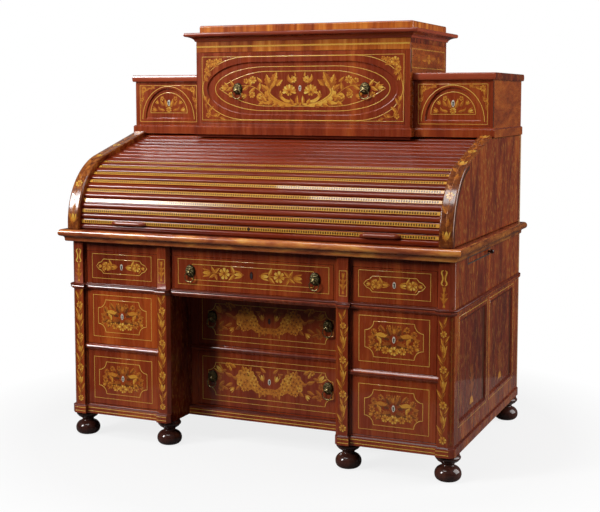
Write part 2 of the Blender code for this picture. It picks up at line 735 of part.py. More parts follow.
def make_upper_stage():
    mesh = bmesh.new()
    rings = []
    cap_levels = (
        (Z_BAND + JOIN, 0.0),
        (Z_CAP, 0.0),
        (Z_CAP, CAP_STEP - CAP_ROUND / 2),
        (Z_CAP + CAP_ROUND, CAP_STEP),
        (Z_CAP_TOP - CAP_ROUND, CAP_STEP),
        (Z_CAP_TOP, CAP_STEP - CAP_ROUND),
    )
    for z, grow in cap_levels:
        rings.append(rectangle(-X_OUTER - grow, X_OUTER + grow, Y_STAGE - grow, Y_BACK + grow, z))
    add_loft(mesh, rings)
    stage = add_node("upper_stage", mesh, MAHOGANY)
    centre = bmesh.new()
    add_box(centre, -X_CENTRE, X_CENTRE, Y_CENTRE, Y_CENTRE_BACK, Z_BAND + 2 * JOIN, Z_CENTRE)
    combine(stage, centre, "UNION")
    band = bmesh.new()
    band_levels = (
        (Z_BAND, BAND_STEP),
        (Z_STAGE - BAND_CHAMFER, BAND_STEP),
        (Z_STAGE, BAND_STEP - BAND_CHAMFER),
    )
    add_loft(band, [band_ring(z, grow) for z, grow in band_levels])
    combine(stage, band, "UNION")
    cuts = bmesh.new()
    for side in (-1, 1):
        add_side_box(
            cuts,
            side,
            X_STAGE_POCKET_IN,
            X_STAGE_POCKET_OUT,
            Y_STAGE - CUT_MARGIN,
            Y_STAGE_POCKET_END,
            Z_STAGE_POCKET,
            Z_STAGE_POCKET_TOP,
        )
    add_box(
        cuts,
        -X_CENTRE_POCKET,
        X_CENTRE_POCKET,
        Y_CENTRE - CUT_MARGIN,
        Y_CENTRE_POCKET_END,
        Z_CENTRE_POCKET,
        Z_CENTRE_POCKET_TOP,
    )
    channel_start = Y_STAGE + JOIN
    channel_low = Z_BAND - CUT_MARGIN
    channel_high = Z_BAND + CHANNEL_RISE
    add_box(cuts, -X_RAIL, X_RAIL, channel_start, Y_BACK - STAGE_BACK_WALL, channel_low, channel_high)
    combine(stage, cuts, "DIFFERENCE")


make_upper_stage()

# Cornice with the attic block
cornice = bmesh.new()
cornice_rings = []
for share_out, share_up in CORNICE_PROFILE:
    out = CORNICE_STEP * share_out
    z = Z_CORNICE + CORNICE_HEIGHT * share_up
    cornice_rings.append(rectangle(-X_CENTRE - out, X_CENTRE + out, Y_CENTRE - out, Y_CENTRE_BACK + out, z))
Z_ATTIC = Z_CORNICE + CORNICE_HEIGHT
Z_ATTIC_TOP = Z_ATTIC + ATTIC_HEIGHT
for z, inset in ((Z_ATTIC, 0.0), (Z_ATTIC_TOP - ATTIC_CHAMFER, 0.0), (Z_ATTIC_TOP, ATTIC_CHAMFER)):
    half = X_CENTRE - inset
    attic_front = Y_CENTRE + ATTIC_FRONT_INSET + inset
    cornice_rings.append(rectangle(-half, half, attic_front, Y_CENTRE_BACK - inset, z))
add_loft(cornice, cornice_rings)
add_node("cornice", cornice, GOLDEN)


# Drawers
def make_drawer(name, x0, x1, y_face, y_end, z0, z1, sunk=None):
    """An inset front with an open tray behind it, in the pocket from x0 to x1 and z0 to z1."""
    mesh = bmesh.new()
    add_box(
        mesh,
        x0 + FRONT_GAP,
        x1 - FRONT_GAP,
        y_face,
        y_face + FRONT_THICKNESS,
        z0 + FRONT_GAP,
        z1 - FRONT_GAP,
    )
    drawer = add_node(name, mesh, MAHOGANY, ((x0 + x1) / 2, y_face, (z0 + z1) / 2))
    tray = bmesh.new()
    left = x0 + FRONT_GAP + TRAY_INSET
    right = x1 - FRONT_GAP - TRAY_INSET
    low = z0 + RUNNER_GAP
    high = z1 - TRAY_DROP
    floor = low + TRAY_BOTTOM
    inner = (left + TRAY_WALL, right - TRAY_WALL, y_face + FRONT_THICKNESS + JOIN, y_end - TRAY_WALL)
    start = y_face + FRONT_THICKNESS - JOIN
    rings = [rectangle(left, right, start, y_end, low), rectangle(left, right, start, y_end, high)]
    rings += [rectangle(*inner, high), rectangle(*inner, floor)]
    add_loft(tray, rings)
    combine(drawer, tray, "UNION")
    if sunk:
        cut = bmesh.new()
        outline, depth = sunk
        start = y_face - CUT_MARGIN
        add_loft(cut, [[(x, y, z) for x, z in outline] for y in (y_face + depth, start)])
        combine(drawer, cut, "DIFFERENCE")


def oval(x, z, half_width, half_height, start, end, steps):
    """Points of an oval, or of a part of it, anticlockwise seen from the front."""
    turns = [start + (end - start) * i / steps for i in range(steps)]
    return [(x + half_width * math.cos(t), z + half_height * math.sin(t)) for t in turns]


for side_name, side in (("left", -1), ("right", 1)):
    for row, low, high in BAYS:
        x0, x1 = sorted((side * X_POCKET_IN, side * X_POCKET_OUT))
        make_drawer(f"drawer_{side_name}_{row}", x0, x1, Y_BAY, Y_DRAWER_END, low, high)

make_drawer(
    "drawer_centre_frieze",
    -X_FRIEZE_POCKET,
    X_FRIEZE_POCKET,
    Y_CENTRE_FRIEZE,
    Y_DRAWER_END,
    Z_FRIEZE,
    Z_TOP_RAIL,
)
for row, low, high in CHEST_ROWS:
    name = f"drawer_kneehole_{row}"
    make_drawer(name, -X_CHEST_POCKET, X_CHEST_POCKET, Y_CHEST, Y_DRAWER_END, low, high)

X_LUNETTE = (X_STAGE_POCKET_IN + X_STAGE_POCKET_OUT) / 2
Z_LUNETTE = Z_STAGE_POCKET + LUNETTE_SILL
LUNETTE_RADIUS = (X_STAGE_POCKET_OUT - X_STAGE_POCKET_IN) / 2 - LUNETTE_SIDE_MARGIN
LUNETTE_HEIGHT = Z_STAGE_POCKET_TOP - LUNETTE_TOP_MARGIN - Z_LUNETTE
for side_name, side in (("left", -1), ("right", 1)):
    x0, x1 = sorted((side * X_STAGE_POCKET_IN, side * X_STAGE_POCKET_OUT))
    arch = oval(side * X_LUNETTE, Z_LUNETTE, LUNETTE_RADIUS, LUNETTE_HEIGHT, 0.0, math.pi, LUNETTE_STEPS)
    arch.append((side * X_LUNETTE - LUNETTE_RADIUS, Z_LUNETTE))
    make_drawer(
        f"drawer_upper_{side_name}",
        x0,
        x1,
        Y_STAGE,
        Y_STAGE_POCKET_END - DRAWER_REST,
        Z_STAGE_POCKET,
        Z_STAGE_POCKET_TOP,
        (arch, LUNETTE_DEPTH),
    )

Z_OVAL = (Z_CENTRE_POCKET + Z_CENTRE_POCKET_TOP) / 2 - OVAL_DROP
OVAL_RADIUS = X_CENTRE_POCKET - OVAL_SIDE_MARGIN
OVAL_HALF_HEIGHT = (Z_CENTRE_POCKET_TOP - Z_CENTRE_POCKET) / 2 - OVAL_END_MARGIN
full_oval = oval(0.0, Z_OVAL, OVAL_RADIUS, OVAL_HALF_HEIGHT, 0.0, 2 * math.pi, OVAL_STEPS)
make_drawer(
    "drawer_upper_centre",
    -X_CENTRE_POCKET,
    X_CENTRE_POCKET,
    Y_CENTRE,
    Y_CENTRE_POCKET_END - DRAWER_REST,
    Z_CENTRE_POCKET,
    Z_CENTRE_POCKET_TOP,
    (full_oval, OVAL_DEPTH),
)

# Pull-out slide and its knob
slide = bmesh.new()
X_SLIDE = X_OUTER - SLIDE_LENGTH
add_box(slide, X_SLIDE, X_OUTER, Y_SLIDE, Y_SLIDE + SLIDE_WIDTH, Z_SLIDE, Z_SLIDE + SLIDE_THICKNESS)
add_node("side_slide", slide, MAHOGANY, (X_OUTER, Y_SLIDE + SLIDE_WIDTH / 2, Z_SLIDE + SLIDE_THICKNESS / 2))
Y_KNOB = Y_SLIDE + SLIDE_WIDTH - SLIDE_KNOB_INSET
Z_KNOB = Z_SLIDE + SLIDE_THICKNESS / 2
knob = bmesh.new()
knob_profile = [(KNOB_RADIUS * r, KNOB_LENGTH * h) for r, h in KNOB_PROFILE]
add_turned(knob, knob_profile, lambda u, v, h: (X_OUTER + GAP + h, Y_KNOB + u, Z_KNOB + v), KNOB_SEGMENTS)
add_node("slide_knob", knob, DARK_WOOD, (X_OUTER, Y_KNOB, Z_KNOB), smooth=True)


# Ring pulls: a mask with a bored lug, and a ring hanging through it
RING_SAG = LUG_WIDTH ** 2 / (8 * RING_RADIUS)
EYE_RADIUS = RING_THICKNESS + RING_SAG + EYE_CLEARANCE
EYE_REACH = MASK_DEPTH + RING_THICKNESS - EYE_SINK
LUG_REACH = EYE_REACH + EYE_RADIUS + LUG_WALL
LUG_HEIGHT = 2 * (EYE_RADIUS + LUG_WALL)


def make_pull(name, x, y_face, z):
    base = y_face - GAP
    mask_mesh = bmesh.new()
    profile = [(MASK_RADIUS * r, MASK_DEPTH * h) for r, h in MASK_PROFILE]
    add_turned(mask_mesh, profile, lambda u, v, h: (x + u, base - h, z + v), MASK_SEGMENTS)
    mask = add_node(f"mask_{name}", mask_mesh, BRASS, (x, base, z), smooth=True)
    z_eye = z - LUG_DROP
    y_eye = base - EYE_REACH
    lug = bmesh.new()
    lug_low = z_eye - LUG_HEIGHT / 2
    lug_high = z_eye + LUG_HEIGHT / 2
    add_box(lug, x - LUG_WIDTH / 2, x + LUG_WIDTH / 2, base - LUG_REACH, base - GAP, lug_low, lug_high)
    combine(mask, lug, "UNION")
    eye = bmesh.new()
    turns = [2 * math.pi * (i + 0.5) / EYE_SEGMENTS for i in range(EYE_SEGMENTS)]
    bore = [(y_eye + EYE_RADIUS * math.cos(t), z_eye + EYE_RADIUS * math.sin(t)) for t in turns]
    add_bar(eye, bore, x - MASK_RADIUS, x + MASK_RADIUS)
    combine(mask, eye, "DIFFERENCE")
    ring_mesh = bmesh.new()
    rows = []
    for i in range(RING_SEGMENTS):
        around = 2 * math.pi * i / RING_SEGMENTS
        row = []
        for j in range(RING_SIDES):
            turn = 2 * math.pi * (j + 0.5) / RING_SIDES
            reach = RING_RADIUS + RING_THICKNESS * math.cos(turn)
            offset = RING_THICKNESS * math.sin(turn)
            across = x + reach * math.sin(around)
            height = z_eye - RING_RADIUS + reach * math.cos(around)
            row.append(ring_mesh.verts.new((across, y_eye + offset, height)))
        rows.append(row)
    for i, row in enumerate(rows):
        after = rows[(i + 1) % RING_SEGMENTS]
        for j in range(RING_SIDES):
            k = (j + 1) % RING_SIDES
            ring_mesh.faces.new((row[j], row[k], after[k], after[j]))
    add_node(f"ring_{name}", ring_mesh, BRASS, (x, y_eye, z_eye), smooth=True)


Z_FRIEZE_PULL = (Z_FRIEZE + Z_TOP_RAIL) / 2 + PULL_LIFT
for side_name, side in (("left", -1), ("right", 1)):
    x = side * (X_FRIEZE_POCKET - FRIEZE_PULL_INSET)
    make_pull(f"frieze_{side_name}", x, Y_CENTRE_FRIEZE, Z_FRIEZE_PULL)
    for row, low, high in CHEST_ROWS:
        x = side * (X_CHEST_POCKET - CHEST_PULL_INSET)
        make_pull(f"kneehole_{row}_{side_name}", x, Y_CHEST, (low + high) / 2 + PULL_LIFT)
    x = side * (X_CENTRE_POCKET - UPPER_PULL_INSET)
    make_pull(f"upper_{side_name}", x, Y_CENTRE + OVAL_DEPTH, Z_OVAL + PULL_LIFT)
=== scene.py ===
import math

import bmesh
import bpy
from mathutils import Matrix, Vector
from mathutils.geometry import tessellate_polygon


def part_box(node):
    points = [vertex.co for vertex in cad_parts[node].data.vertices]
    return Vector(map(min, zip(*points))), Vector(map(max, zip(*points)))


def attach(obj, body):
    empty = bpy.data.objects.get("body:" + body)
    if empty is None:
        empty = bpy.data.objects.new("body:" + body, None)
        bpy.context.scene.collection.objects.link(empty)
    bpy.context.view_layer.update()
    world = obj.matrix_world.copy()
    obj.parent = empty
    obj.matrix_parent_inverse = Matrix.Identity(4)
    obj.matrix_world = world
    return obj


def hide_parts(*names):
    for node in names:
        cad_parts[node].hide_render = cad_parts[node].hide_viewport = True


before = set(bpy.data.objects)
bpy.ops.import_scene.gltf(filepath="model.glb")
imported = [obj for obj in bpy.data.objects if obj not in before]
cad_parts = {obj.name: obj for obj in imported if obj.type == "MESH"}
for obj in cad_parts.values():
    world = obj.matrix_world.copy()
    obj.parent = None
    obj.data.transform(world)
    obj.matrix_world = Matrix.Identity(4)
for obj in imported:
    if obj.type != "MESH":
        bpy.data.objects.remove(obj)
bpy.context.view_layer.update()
scene = bpy.context.scene
scene.view_settings.view_transform = "Standard"
sides = (("left", -1), ("right", 1))
quarter = math.pi / 2
mm = 0.001

# Camera: long lens, right of the middle, a little above the writing board
cameraLook = {"place": (1.755, -4.059, 1.256), "tilt": 84.69, "turn": 23.385, "film": 36.0, "lens": 70.28,
              "drop": -0.08}
eye = bpy.data.objects.new("camera", bpy.data.cameras.new("camera"))
scene.collection.objects.link(eye)
eye.location = cameraLook["place"]
eye.rotation_euler = (math.radians(cameraLook["tilt"]), 0.0, math.radians(cameraLook["turn"]))
eye.data.sensor_width = cameraLook["film"]
eye.data.lens = cameraLook["lens"]
eye.data.shift_y = cameraLook["drop"]
scene.camera = eye


# Node helpers for shader and geometry trees alike
def fill(tree, node, inputs):
    for name, value in inputs.items():
        if isinstance(value, bpy.types.NodeSocket):
            tree.links.new(value, node.inputs[name])
        else:
            node.inputs[name].default_value = value


def addNode(tree, kind, inputs=None, **settings):
    node = tree.nodes.new(kind)
    for name, value in settings.items():
        setattr(node, name, value)
    fill(tree, node, inputs or {})
    return node


def mathOf(tree, operation, *values):
    return addNode(tree, "ShaderNodeMath", dict(enumerate(values)), operation=operation).outputs[0]


def rangeOf(tree, value, fromLow, fromHigh, toLow=0.0, toHigh=1.0, **settings):
    inputs = {"Value": value, "From Min": fromLow, "From Max": fromHigh, "To Min": toLow, "To Max": toHigh}
    return addNode(tree, "ShaderNodeMapRange", inputs, **settings).outputs["Result"]


def noiseOf(tree, vector, scale, detail=2.0, twist=0.0):
    inputs = {"Vector": vector, "Scale": scale, "Detail": detail, "Roughness": 0.55, "Distortion": twist}
    return addNode(tree, "ShaderNodeTexNoise", inputs).outputs["Fac"]


def attributeOf(tree, name):
    return addNode(tree, "ShaderNodeAttribute", None, attribute_name=name).outputs["Fac"]


def blendOf(tree, share, below, above, kind="MIX"):
    inputs = {0: share, 6: below, 7: above}
    return addNode(tree, "ShaderNodeMix", inputs, data_type="RGBA", blend_type=kind).outputs[2]


def colourRamp(tree, value, stops):
    ramp = addNode(tree, "ShaderNodeValToRGB", {"Fac": value})
    bar = ramp.color_ramp.elements
    while len(bar) < len(stops):
        bar.new(0.5)
    for element, (at, colour) in zip(bar, stops):
        element.position = at
        element.color = (*colour, 1.0)
    return ramp.outputs["Color"]


def alongGrain(tree, place, shift, grain, amount):
    stretch = [1.0, 1.0, 1.0]
    stretch[grain] = amount
    inputs = {"Vector": place, "Location": shift, "Scale": stretch}
    return addNode(tree, "ShaderNodeMapping", inputs).outputs["Vector"]


finishes = {}


def newFinish(name):
    finishes[name] = bpy.data.materials.new(name)
    finishes[name].use_nodes = True
    tree = finishes[name].node_tree
    return tree, tree.nodes["Principled BSDF"], addNode(tree, "ShaderNodeTexCoord").outputs["Object"]


# French-polished veneers: broad figure, ribbon stripe, pores and golden flecks, with the grain along one axis
fourSteps, sideSteps, fiveSteps = (0.15, 0.42, 0.62, 0.88), (0.15, 0.40, 0.60, 0.86), (0.15, 0.40, 0.58, 0.76, 0.92)
veneerTones = {
    "mahogany": ((0.145, 0.018, 0.006), (0.215, 0.029, 0.008), (0.285, 0.044, 0.010), (0.400, 0.084, 0.016)),
    "warm": ((0.185, 0.024, 0.006), (0.275, 0.039, 0.008), (0.368, 0.060, 0.010), (0.500, 0.112, 0.016)),
    "red": ((0.110, 0.016, 0.008), (0.185, 0.028, 0.010), (0.235, 0.039, 0.012), (0.310, 0.063, 0.018)),
    "dark": ((0.055, 0.010, 0.006), (0.095, 0.016, 0.008), (0.125, 0.022, 0.009), (0.170, 0.034, 0.012)),
    "slat": ((0.105, 0.010, 0.003), (0.165, 0.017, 0.004), (0.212, 0.025, 0.005), (0.280, 0.043, 0.008)),
    "side": ((0.078, 0.009, 0.003), (0.166, 0.022, 0.005), (0.258, 0.041, 0.006), (0.395, 0.090, 0.011)),
    "panel": ((0.052, 0.006, 0.003), (0.110, 0.013, 0.004), (0.172, 0.022, 0.005), (0.280, 0.049, 0.009)),
    "cornice": ((0.178, 0.028, 0.015), (0.296, 0.050, 0.022), (0.378, 0.071, 0.028), (0.490, 0.118, 0.040)),
    "stage": ((0.142, 0.022, 0.004), (0.236, 0.042, 0.006), (0.316, 0.065, 0.008), (0.430, 0.112, 0.014)),
    "golden": ((0.230, 0.040, 0.008), (0.375, 0.079, 0.011), (0.490, 0.130, 0.016), (0.640, 0.230, 0.031)),
    "oak": ((0.240, 0.120, 0.052), (0.310, 0.165, 0.074), (0.360, 0.200, 0.094), (0.420, 0.250, 0.125)),
    "turned": ((0.030, 0.009, 0.007), (0.050, 0.015, 0.010), (0.066, 0.020, 0.013), (0.098, 0.030, 0.016)),
    "edge": ((0.230, 0.047, 0.018), (0.390, 0.098, 0.030), (0.540, 0.166, 0.040), (0.680, 0.270, 0.056),
             (0.740, 0.380, 0.086)),
    "burr": ((0.088, 0.018, 0.005), (0.176, 0.040, 0.008), (0.278, 0.076, 0.012), (0.386, 0.130, 0.020),
             (0.490, 0.205, 0.034)),
    # shade: the burr darkened, painted shade for the right rail
    "shade": ((0.066, 0.012, 0.004), (0.132, 0.028, 0.006), (0.206, 0.052, 0.010), (0.290, 0.090, 0.016),
              (0.370, 0.145, 0.026)),
}
veneerLook = {
    "long": 0.09, "dash": 0.22, "swirl": 1.4, "spread": (0.22, 0.78), "polish": (0.20, 0.34), "coat": 0.85,
    "soft": 0.05,
    "broadShare": 0.68, "fineShare": 0.32, "pores": 620.0, "poreShare": 0.8, "shine": 0.12,
    "poreTones": ((0.30, (0.80, 0.78, 0.76)), (0.46, (1.0, 1.0, 1.0))), "bump": (0.06, 0.0004),
    "fleckTone": (0.46, 0.19, 0.035, 1.0), "fleckFrom": (0.53, 0.66), "fleckPatch": (0.30, 0.54), "fleckScale": 2.5,
}
veneers = {  # tones, grain axis, scale of figure and of stripe, flecks, shift, and what differs from the rest
    "mahoganyUpright": ("mahogany", 2, 7.0, 46.0, 0.10, (0.0, 0.0, 0.0), {}),
    "mahoganyWarm": ("warm", 2, 7.0, 46.0, 0.10, (0.5, 0.0, 0.0), {}),
    "mahoganyLong": ("red", 0, 8.0, 60.0, 0.05, (0.3, 0.0, 0.7), {}),
    "darkLong": ("dark", 0, 9.0, 60.0, 0.0, (0.6, 0.1, 0.2), {"coat": 0.16, "soft": 0.12}),
    "slatRed": ("slat", 0, 8.0, 60.0, 0.04, (0.3, 0.4, 0.7), {"coat": 0.40, "soft": 0.045}),
    "mahoganySide": ("side", 2, 9.0, 40.0, 0.66, (0.2, 0.4, 0.1), {"long": 0.24, "dash": 0.42, "steps": sideSteps}),
    "mahoganyPanel": ("panel", 2, 9.0, 40.0, 0.48, (0.7, 0.1, 0.4), {"long": 0.24, "dash": 0.42, "steps": sideSteps}),
    "corniceLong": ("cornice", 0, 8.0, 60.0, 0.05, (0.1, 0.5, 0.2), {}),
    "corniceDeep": ("cornice", 1, 8.0, 60.0, 0.05, (0.4, 0.2, 0.6), {}),
    "stageDeep": ("stage", 1, 10.0, 60.0, 0.20, (0.6, 0.2, 0.9), {"long": 0.3}),
    "goldenCross": ("golden", 2, 11.0, 42.0, 0.15, (0.9, 0.2, 0.5), {"spread": (0.33, 0.67)}),
    "edgeLong": ("edge", 0, 17.0, 70.0, 0.05, (0.25, 0.8, 0.3), {"long": 0.25, "spread": (0.28, 0.72)}),
    "edgeDeep": ("burr", 1, 17.0, 70.0, 0.05, (0.1, 0.35, 0.6), {"long": 0.25, "spread": (0.28, 0.72)}),
    "railBurr": ("burr", 1, 24.0, 70.0, 0.10, (0.5, 0.1, 0.9), {"swirl": 3.0, "soft": 0.16, "long": 0.35}),
    # the right rail's burr, darkened as painted shade
    "railShade": ("shade", 1, 24.0, 70.0, 0.10, (0.5, 0.1, 0.9), {"swirl": 3.0, "soft": 0.12, "long": 0.35}),
    "trayOak": ("oak", 1, 5.0, 70.0, 0.0, (0.4, 0.3, 0.0), {"polish": (0.42, 0.62), "coat": 0.0}),
    "backOak": ("oak", 2, 5.0, 60.0, 0.0, (0.7, 0.3, 0.2), {"polish": (0.42, 0.62), "coat": 0.0}),
    "darkTurned": ("turned", 2, 12.0, 80.0, 0.0, (0.1, 0.2, 0.3), {}),
}
for name, (toneName, grain, figureScale, stripeScale, fleck, shift, special) in veneers.items():
    look = {**veneerLook, **special}
    tones = veneerTones[toneName]
    steps = look.get("steps", fiveSteps if len(tones) == len(fiveSteps) else fourSteps)
    tree, shader, place = newFinish(name)
    lie = alongGrain(tree, place, shift, grain, look["long"])
    broad = noiseOf(tree, lie, figureScale, 3.0, look["swirl"])
    stripe = noiseOf(tree, lie, stripeScale, 4.0, 0.6)
    pores = noiseOf(tree, lie, look["pores"])
    dashes = alongGrain(tree, place, shift, grain, look["dash"])
    flecks = noiseOf(tree, dashes, stripeScale * look["fleckScale"], 2.0, 0.3)
    fine = mathOf(tree, "MULTIPLY", stripe, look["fineShare"])
    figure = rangeOf(tree, mathOf(tree, "MULTIPLY_ADD", broad, look["broadShare"], fine), *look["spread"])
    wood = colourRamp(tree, figure, list(zip(steps, tones)))
    glint = rangeOf(tree, flecks, *look["fleckFrom"], 0.0, fleck)
    share = mathOf(tree, "MULTIPLY", glint, rangeOf(tree, broad, *look["fleckPatch"]))
    flecked = blendOf(tree, share, wood, look["fleckTone"])
    poreShade = colourRamp(tree, pores, look["poreTones"])
    strength, distance = look["bump"]
    bump = addNode(tree, "ShaderNodeBump", {"Strength": strength, "Distance": distance, "Height": pores})
    fill(tree, shader, {
        "Base Color": blendOf(tree, look["poreShare"], flecked, poreShade, "MULTIPLY"),
        "Roughness": rangeOf(tree, stripe, 0.3, 0.7, *look["polish"]), "Normal": bump.outputs["Normal"],
        "Specular IOR Level": look["shine"], "Coat Weight": look["coat"], "Coat Roughness": look["soft"],
    })

# Boxwood and sand-shaded inlay: the shape's own tone picks the colour
boxwoodLook = {
    "grain": 260.0, "swing": 0.09, "rough": 0.28,
    "tones": ((0.05, (0.070, 0.020, 0.008)), (0.30, (0.250, 0.062, 0.012)), (0.55, (0.470, 0.142, 0.018)),
              (0.78, (0.630, 0.290, 0.034)), (0.97, (0.760, 0.500, 0.095))),
}
tree, shader, place = newFinish("boxwoodInlay")
grain = noiseOf(tree, place, boxwoodLook["grain"], 3.0)
grainTone = rangeOf(tree, grain, 0.3, 0.7, -boxwoodLook["swing"], boxwoodLook["swing"])
toned = mathOf(tree, "ADD", attributeOf(tree, "tone"), grainTone)
fill(tree, shader, {
    "Base Color": colourRamp(tree, toned, boxwoodLook["tones"]), "Roughness": boxwoodLook["rough"],
    "Specular IOR Level": veneerLook["shine"], "Coat Weight": veneerLook["coat"], "Coat Roughness": veneerLook["soft"],
})

# Bone of the keyhole plates, and the painted shade of the keyholes and of the gap round the slide
keyFinishes = {
    "keyBone": {"scale": 420.0, "detail": 3.0, "rough": 0.35,
                "tones": ((0.3, (0.50, 0.42, 0.30)), (0.6, (0.72, 0.66, 0.54)))},
    "keyDark": {"scale": 300.0, "detail": 2.0, "rough": 0.6,
                "tones": ((0.3, (0.006, 0.004, 0.003)), (0.7, (0.018, 0.012, 0.009)))},
}
for name, look in keyFinishes.items():
    tree, shader, place = newFinish(name)
    cloud = noiseOf(tree, place, look["scale"], look["detail"])
    fill(tree, shader, {"Base Color": colourRamp(tree, cloud, look["tones"]), "Roughness": look["rough"]})

# Antique brass: greenish brown in the hollows, rubbed where it stands out
brassLook = {
    "patina": 210.0, "patinaShare": 0.45, "rubbedShare": 0.60, "rough": (0.52, 0.24), "metal": 0.9,
    "tones": ((0.25, (0.012, 0.010, 0.007)), (0.50, (0.050, 0.038, 0.018)), (0.70, (0.200, 0.150, 0.062)),
              (0.90, (0.500, 0.400, 0.190))),
}
tree, shader, place = newFinish("antiqueBrass")
share = mathOf(tree, "MULTIPLY", noiseOf(tree, place, brassLook["patina"], 4.0, 0.4), brassLook["patinaShare"])
worn = mathOf(tree, "MULTIPLY_ADD", attributeOf(tree, "rubbed"), brassLook["rubbedShare"], share)
fill(tree, shader, {
    "Base Color": colourRamp(tree, worn, brassLook["tones"]), "Metallic": brassLook["metal"],
    "Roughness": rangeOf(tree, worn, 0.3, 0.8, *brassLook["rough"]),
})
print("finishes ready:", len(finishes))

# Stage: white floor that keeps the shadow, a key panel front left, one overhead, a fill right, two weak cards behind
white = (1.0, 1.0, 1.0, 1.0)
stageLook = {
    "dome": (0.3, 0.95), "domeLight": (0.02, 0.12), "mirrored": 0.02,
    "bounce": 0.16, "seenShade": 0.62, "nearGlow": 0.82, "floor": (1.0, 1.45), "rim": 96,
}


def turnsOf(count):
    return [2 * math.pi * k / count for k in range(count)]


def seenRays(tree):
    ray = addNode(tree, "ShaderNodeLightPath").outputs
    return ray, mathOf(tree, "MAXIMUM", ray["Is Camera Ray"], ray["Is Transmission Ray"])


world = bpy.data.worlds.new("studio")
world.use_nodes = True
scene.world = world
tree = world.node_tree
ray, seen = seenRays(tree)
toward = addNode(tree, "ShaderNodeTexCoord").outputs["Generated"]
height = addNode(tree, "ShaderNodeSeparateXYZ", {0: toward}).outputs["Z"]
dome = rangeOf(tree, height, *stageLook["dome"], *stageLook["domeLight"])
seen = mathOf(tree, "MAXIMUM", seen, mathOf(tree, "MULTIPLY", ray["Is Glossy Ray"], stageLook["mirrored"]))
level = addNode(tree, "ShaderNodeMix", {0: seen, 2: dome, 3: 1.0}).outputs[0]
fill(tree, tree.nodes["Background"], {"Color": white, "Strength": level})

floorNear, floorFar = stageLook["floor"]
floorMesh = bpy.data.meshes.new("floor")
rim = [(floorFar * math.cos(t), floorFar * math.sin(t), 0.0) for t in turnsOf(stageLook["rim"])]
floorMesh.from_pydata(rim, [], [tuple(range(len(rim)))])
floor = bpy.data.objects.new("floor", floorMesh)
scene.collection.objects.link(floor)
tree, shader, place = newFinish("paleFloor")
ray, seen = seenRays(tree)
shade = rangeOf(tree, ray["Is Camera Ray"], 0.0, 1.0, stageLook["bounce"], stageLook["seenShade"])
fill(tree, shader, {"Base Color": shade, "Roughness": 0.9, "Specular IOR Level": 0.0})
glow = addNode(tree, "ShaderNodeEmission", {"Color": white, "Strength": 1.0})
away = addNode(tree, "ShaderNodeVectorMath", {0: place}, operation="LENGTH").outputs["Value"]
share = mathOf(tree, "MULTIPLY", seen, rangeOf(tree, away, floorNear, floorFar, stageLook["nearGlow"], 1.0))
both = addNode(tree, "ShaderNodeMixShader", {0: share, 1: shader.outputs[0], 2: glow.outputs[0]})
fill(tree, tree.nodes["Material Output"], {"Surface": both.outputs[0]})
floorMesh.materials.append(finishes["paleFloor"])

panelLights = {  # place, target, size, power, and where it fades towards one end
    "keyPanel": ((-3.1, -4.2, 3.3), (0.0, 0.0, 0.75), (1.5, 2.0), 362.0, (0.3, 1.0)),
    "overheadPanel": ((-0.36, -1.70, 3.4), (-0.36, -1.70, 0.0), (1.45, 1.3), 53.0, None),
    "rightFill": ((3.3, 0.8, 1.9), (0.7, 0.0, 0.8), (2.8, 2.8), 125.0, None),
    "leftSheen": ((-3.0, 3.1, 3.4), (-0.5, 0.0, 1.1), (0.95, 1.2), 0.8, None),
    "rightSheen": ((-0.9, 3.1, 3.4), (0.4, 0.0, 1.1), (1.0, 1.2), 0.8, None),
}
for name, (place, target, size, power, fade) in panelLights.items():
    lamp = bpy.data.lights.new(name, "AREA")
    lamp.shape = "RECTANGLE"
    lamp.size, lamp.size_y = size
    lamp.energy = power
    if fade:
        lamp.use_nodes = True
        tree = lamp.node_tree
        along = addNode(tree, "ShaderNodeNewGeometry").outputs["Parametric"]
        across = addNode(tree, "ShaderNodeSeparateXYZ", {0: along}).outputs["X"]
        level = rangeOf(tree, across, *fade, 1.0, 0.0, interpolation_type="SMOOTHSTEP")
        fill(tree, tree.nodes["Emission"], {"Strength": level})
    holder = bpy.data.objects.new(name, lamp)
    scene.collection.objects.link(holder)
    holder.location = place
    holder.rotation_euler = (Vector(target) - Vector(place)).to_track_quat("-Z", "Y").to_euler()
print("stage ready")


# Piece helpers
def addPiece(name, mesh, body, finishNames, stands=(), smooth=None, pick=None):
    for finishName in finishNames:
        mesh.materials.append(finishes[finishName])
    if pick:  # each face chooses its finish by its middle and its outward direction
        for face in mesh.polygons:
            face.material_index = finishNames.index(pick(face.center, face.normal))
    if smooth is not None:
        mesh.shade_smooth()
        mesh.set_sharp_from_angle(angle=math.radians(smooth))
    piece = bpy.data.objects.new(name, mesh)
    scene.collection.objects.link(piece)
    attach(piece, body)
    if stands:
        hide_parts(*stands)


def meshFrom(name, work):
    bmesh.ops.remove_doubles(work, verts=work.verts, dist=1e-6)
    bmesh.ops.recalc_face_normals(work, faces=work.faces)
    mesh = bpy.data.meshes.new(name)
    work.to_mesh(mesh)
    work.free()
    return mesh


def vertRows(work, rings):
    return [[work.verts.new(point) for point in ring] for ring in rings]


def bridge(work, rows, loop=False):
    made = []
    for low, high in zip(rows, rows[1:] + rows[:1] if loop else rows[1:]):
        for i in range(len(low)):
            j = (i + 1) % len(low)
            made.append(work.faces.new((low[i], low[j], high[j], high[i])))
    return made


def addLoft(work, rings, finishIndex=0):
    rows = vertRows(work, rings)
    made = bridge(work, rows)
    made.append(work.faces.new(rows[0][::-1]))
    made.append(work.faces.new(rows[-1]))
    for face in made:
        face.material_index = finishIndex


def corners(u0, u1, v0, v1):
    return [(u0, v0), (u1, v0), (u1, v1), (u0, v1)]


def addBlock(work, x0, x1, y0, y1, z0, z1):
    addLoft(work, [[(x, y, z) for x, y in corners(x0, x1, y0, y1)] for z in (z0, z1)])


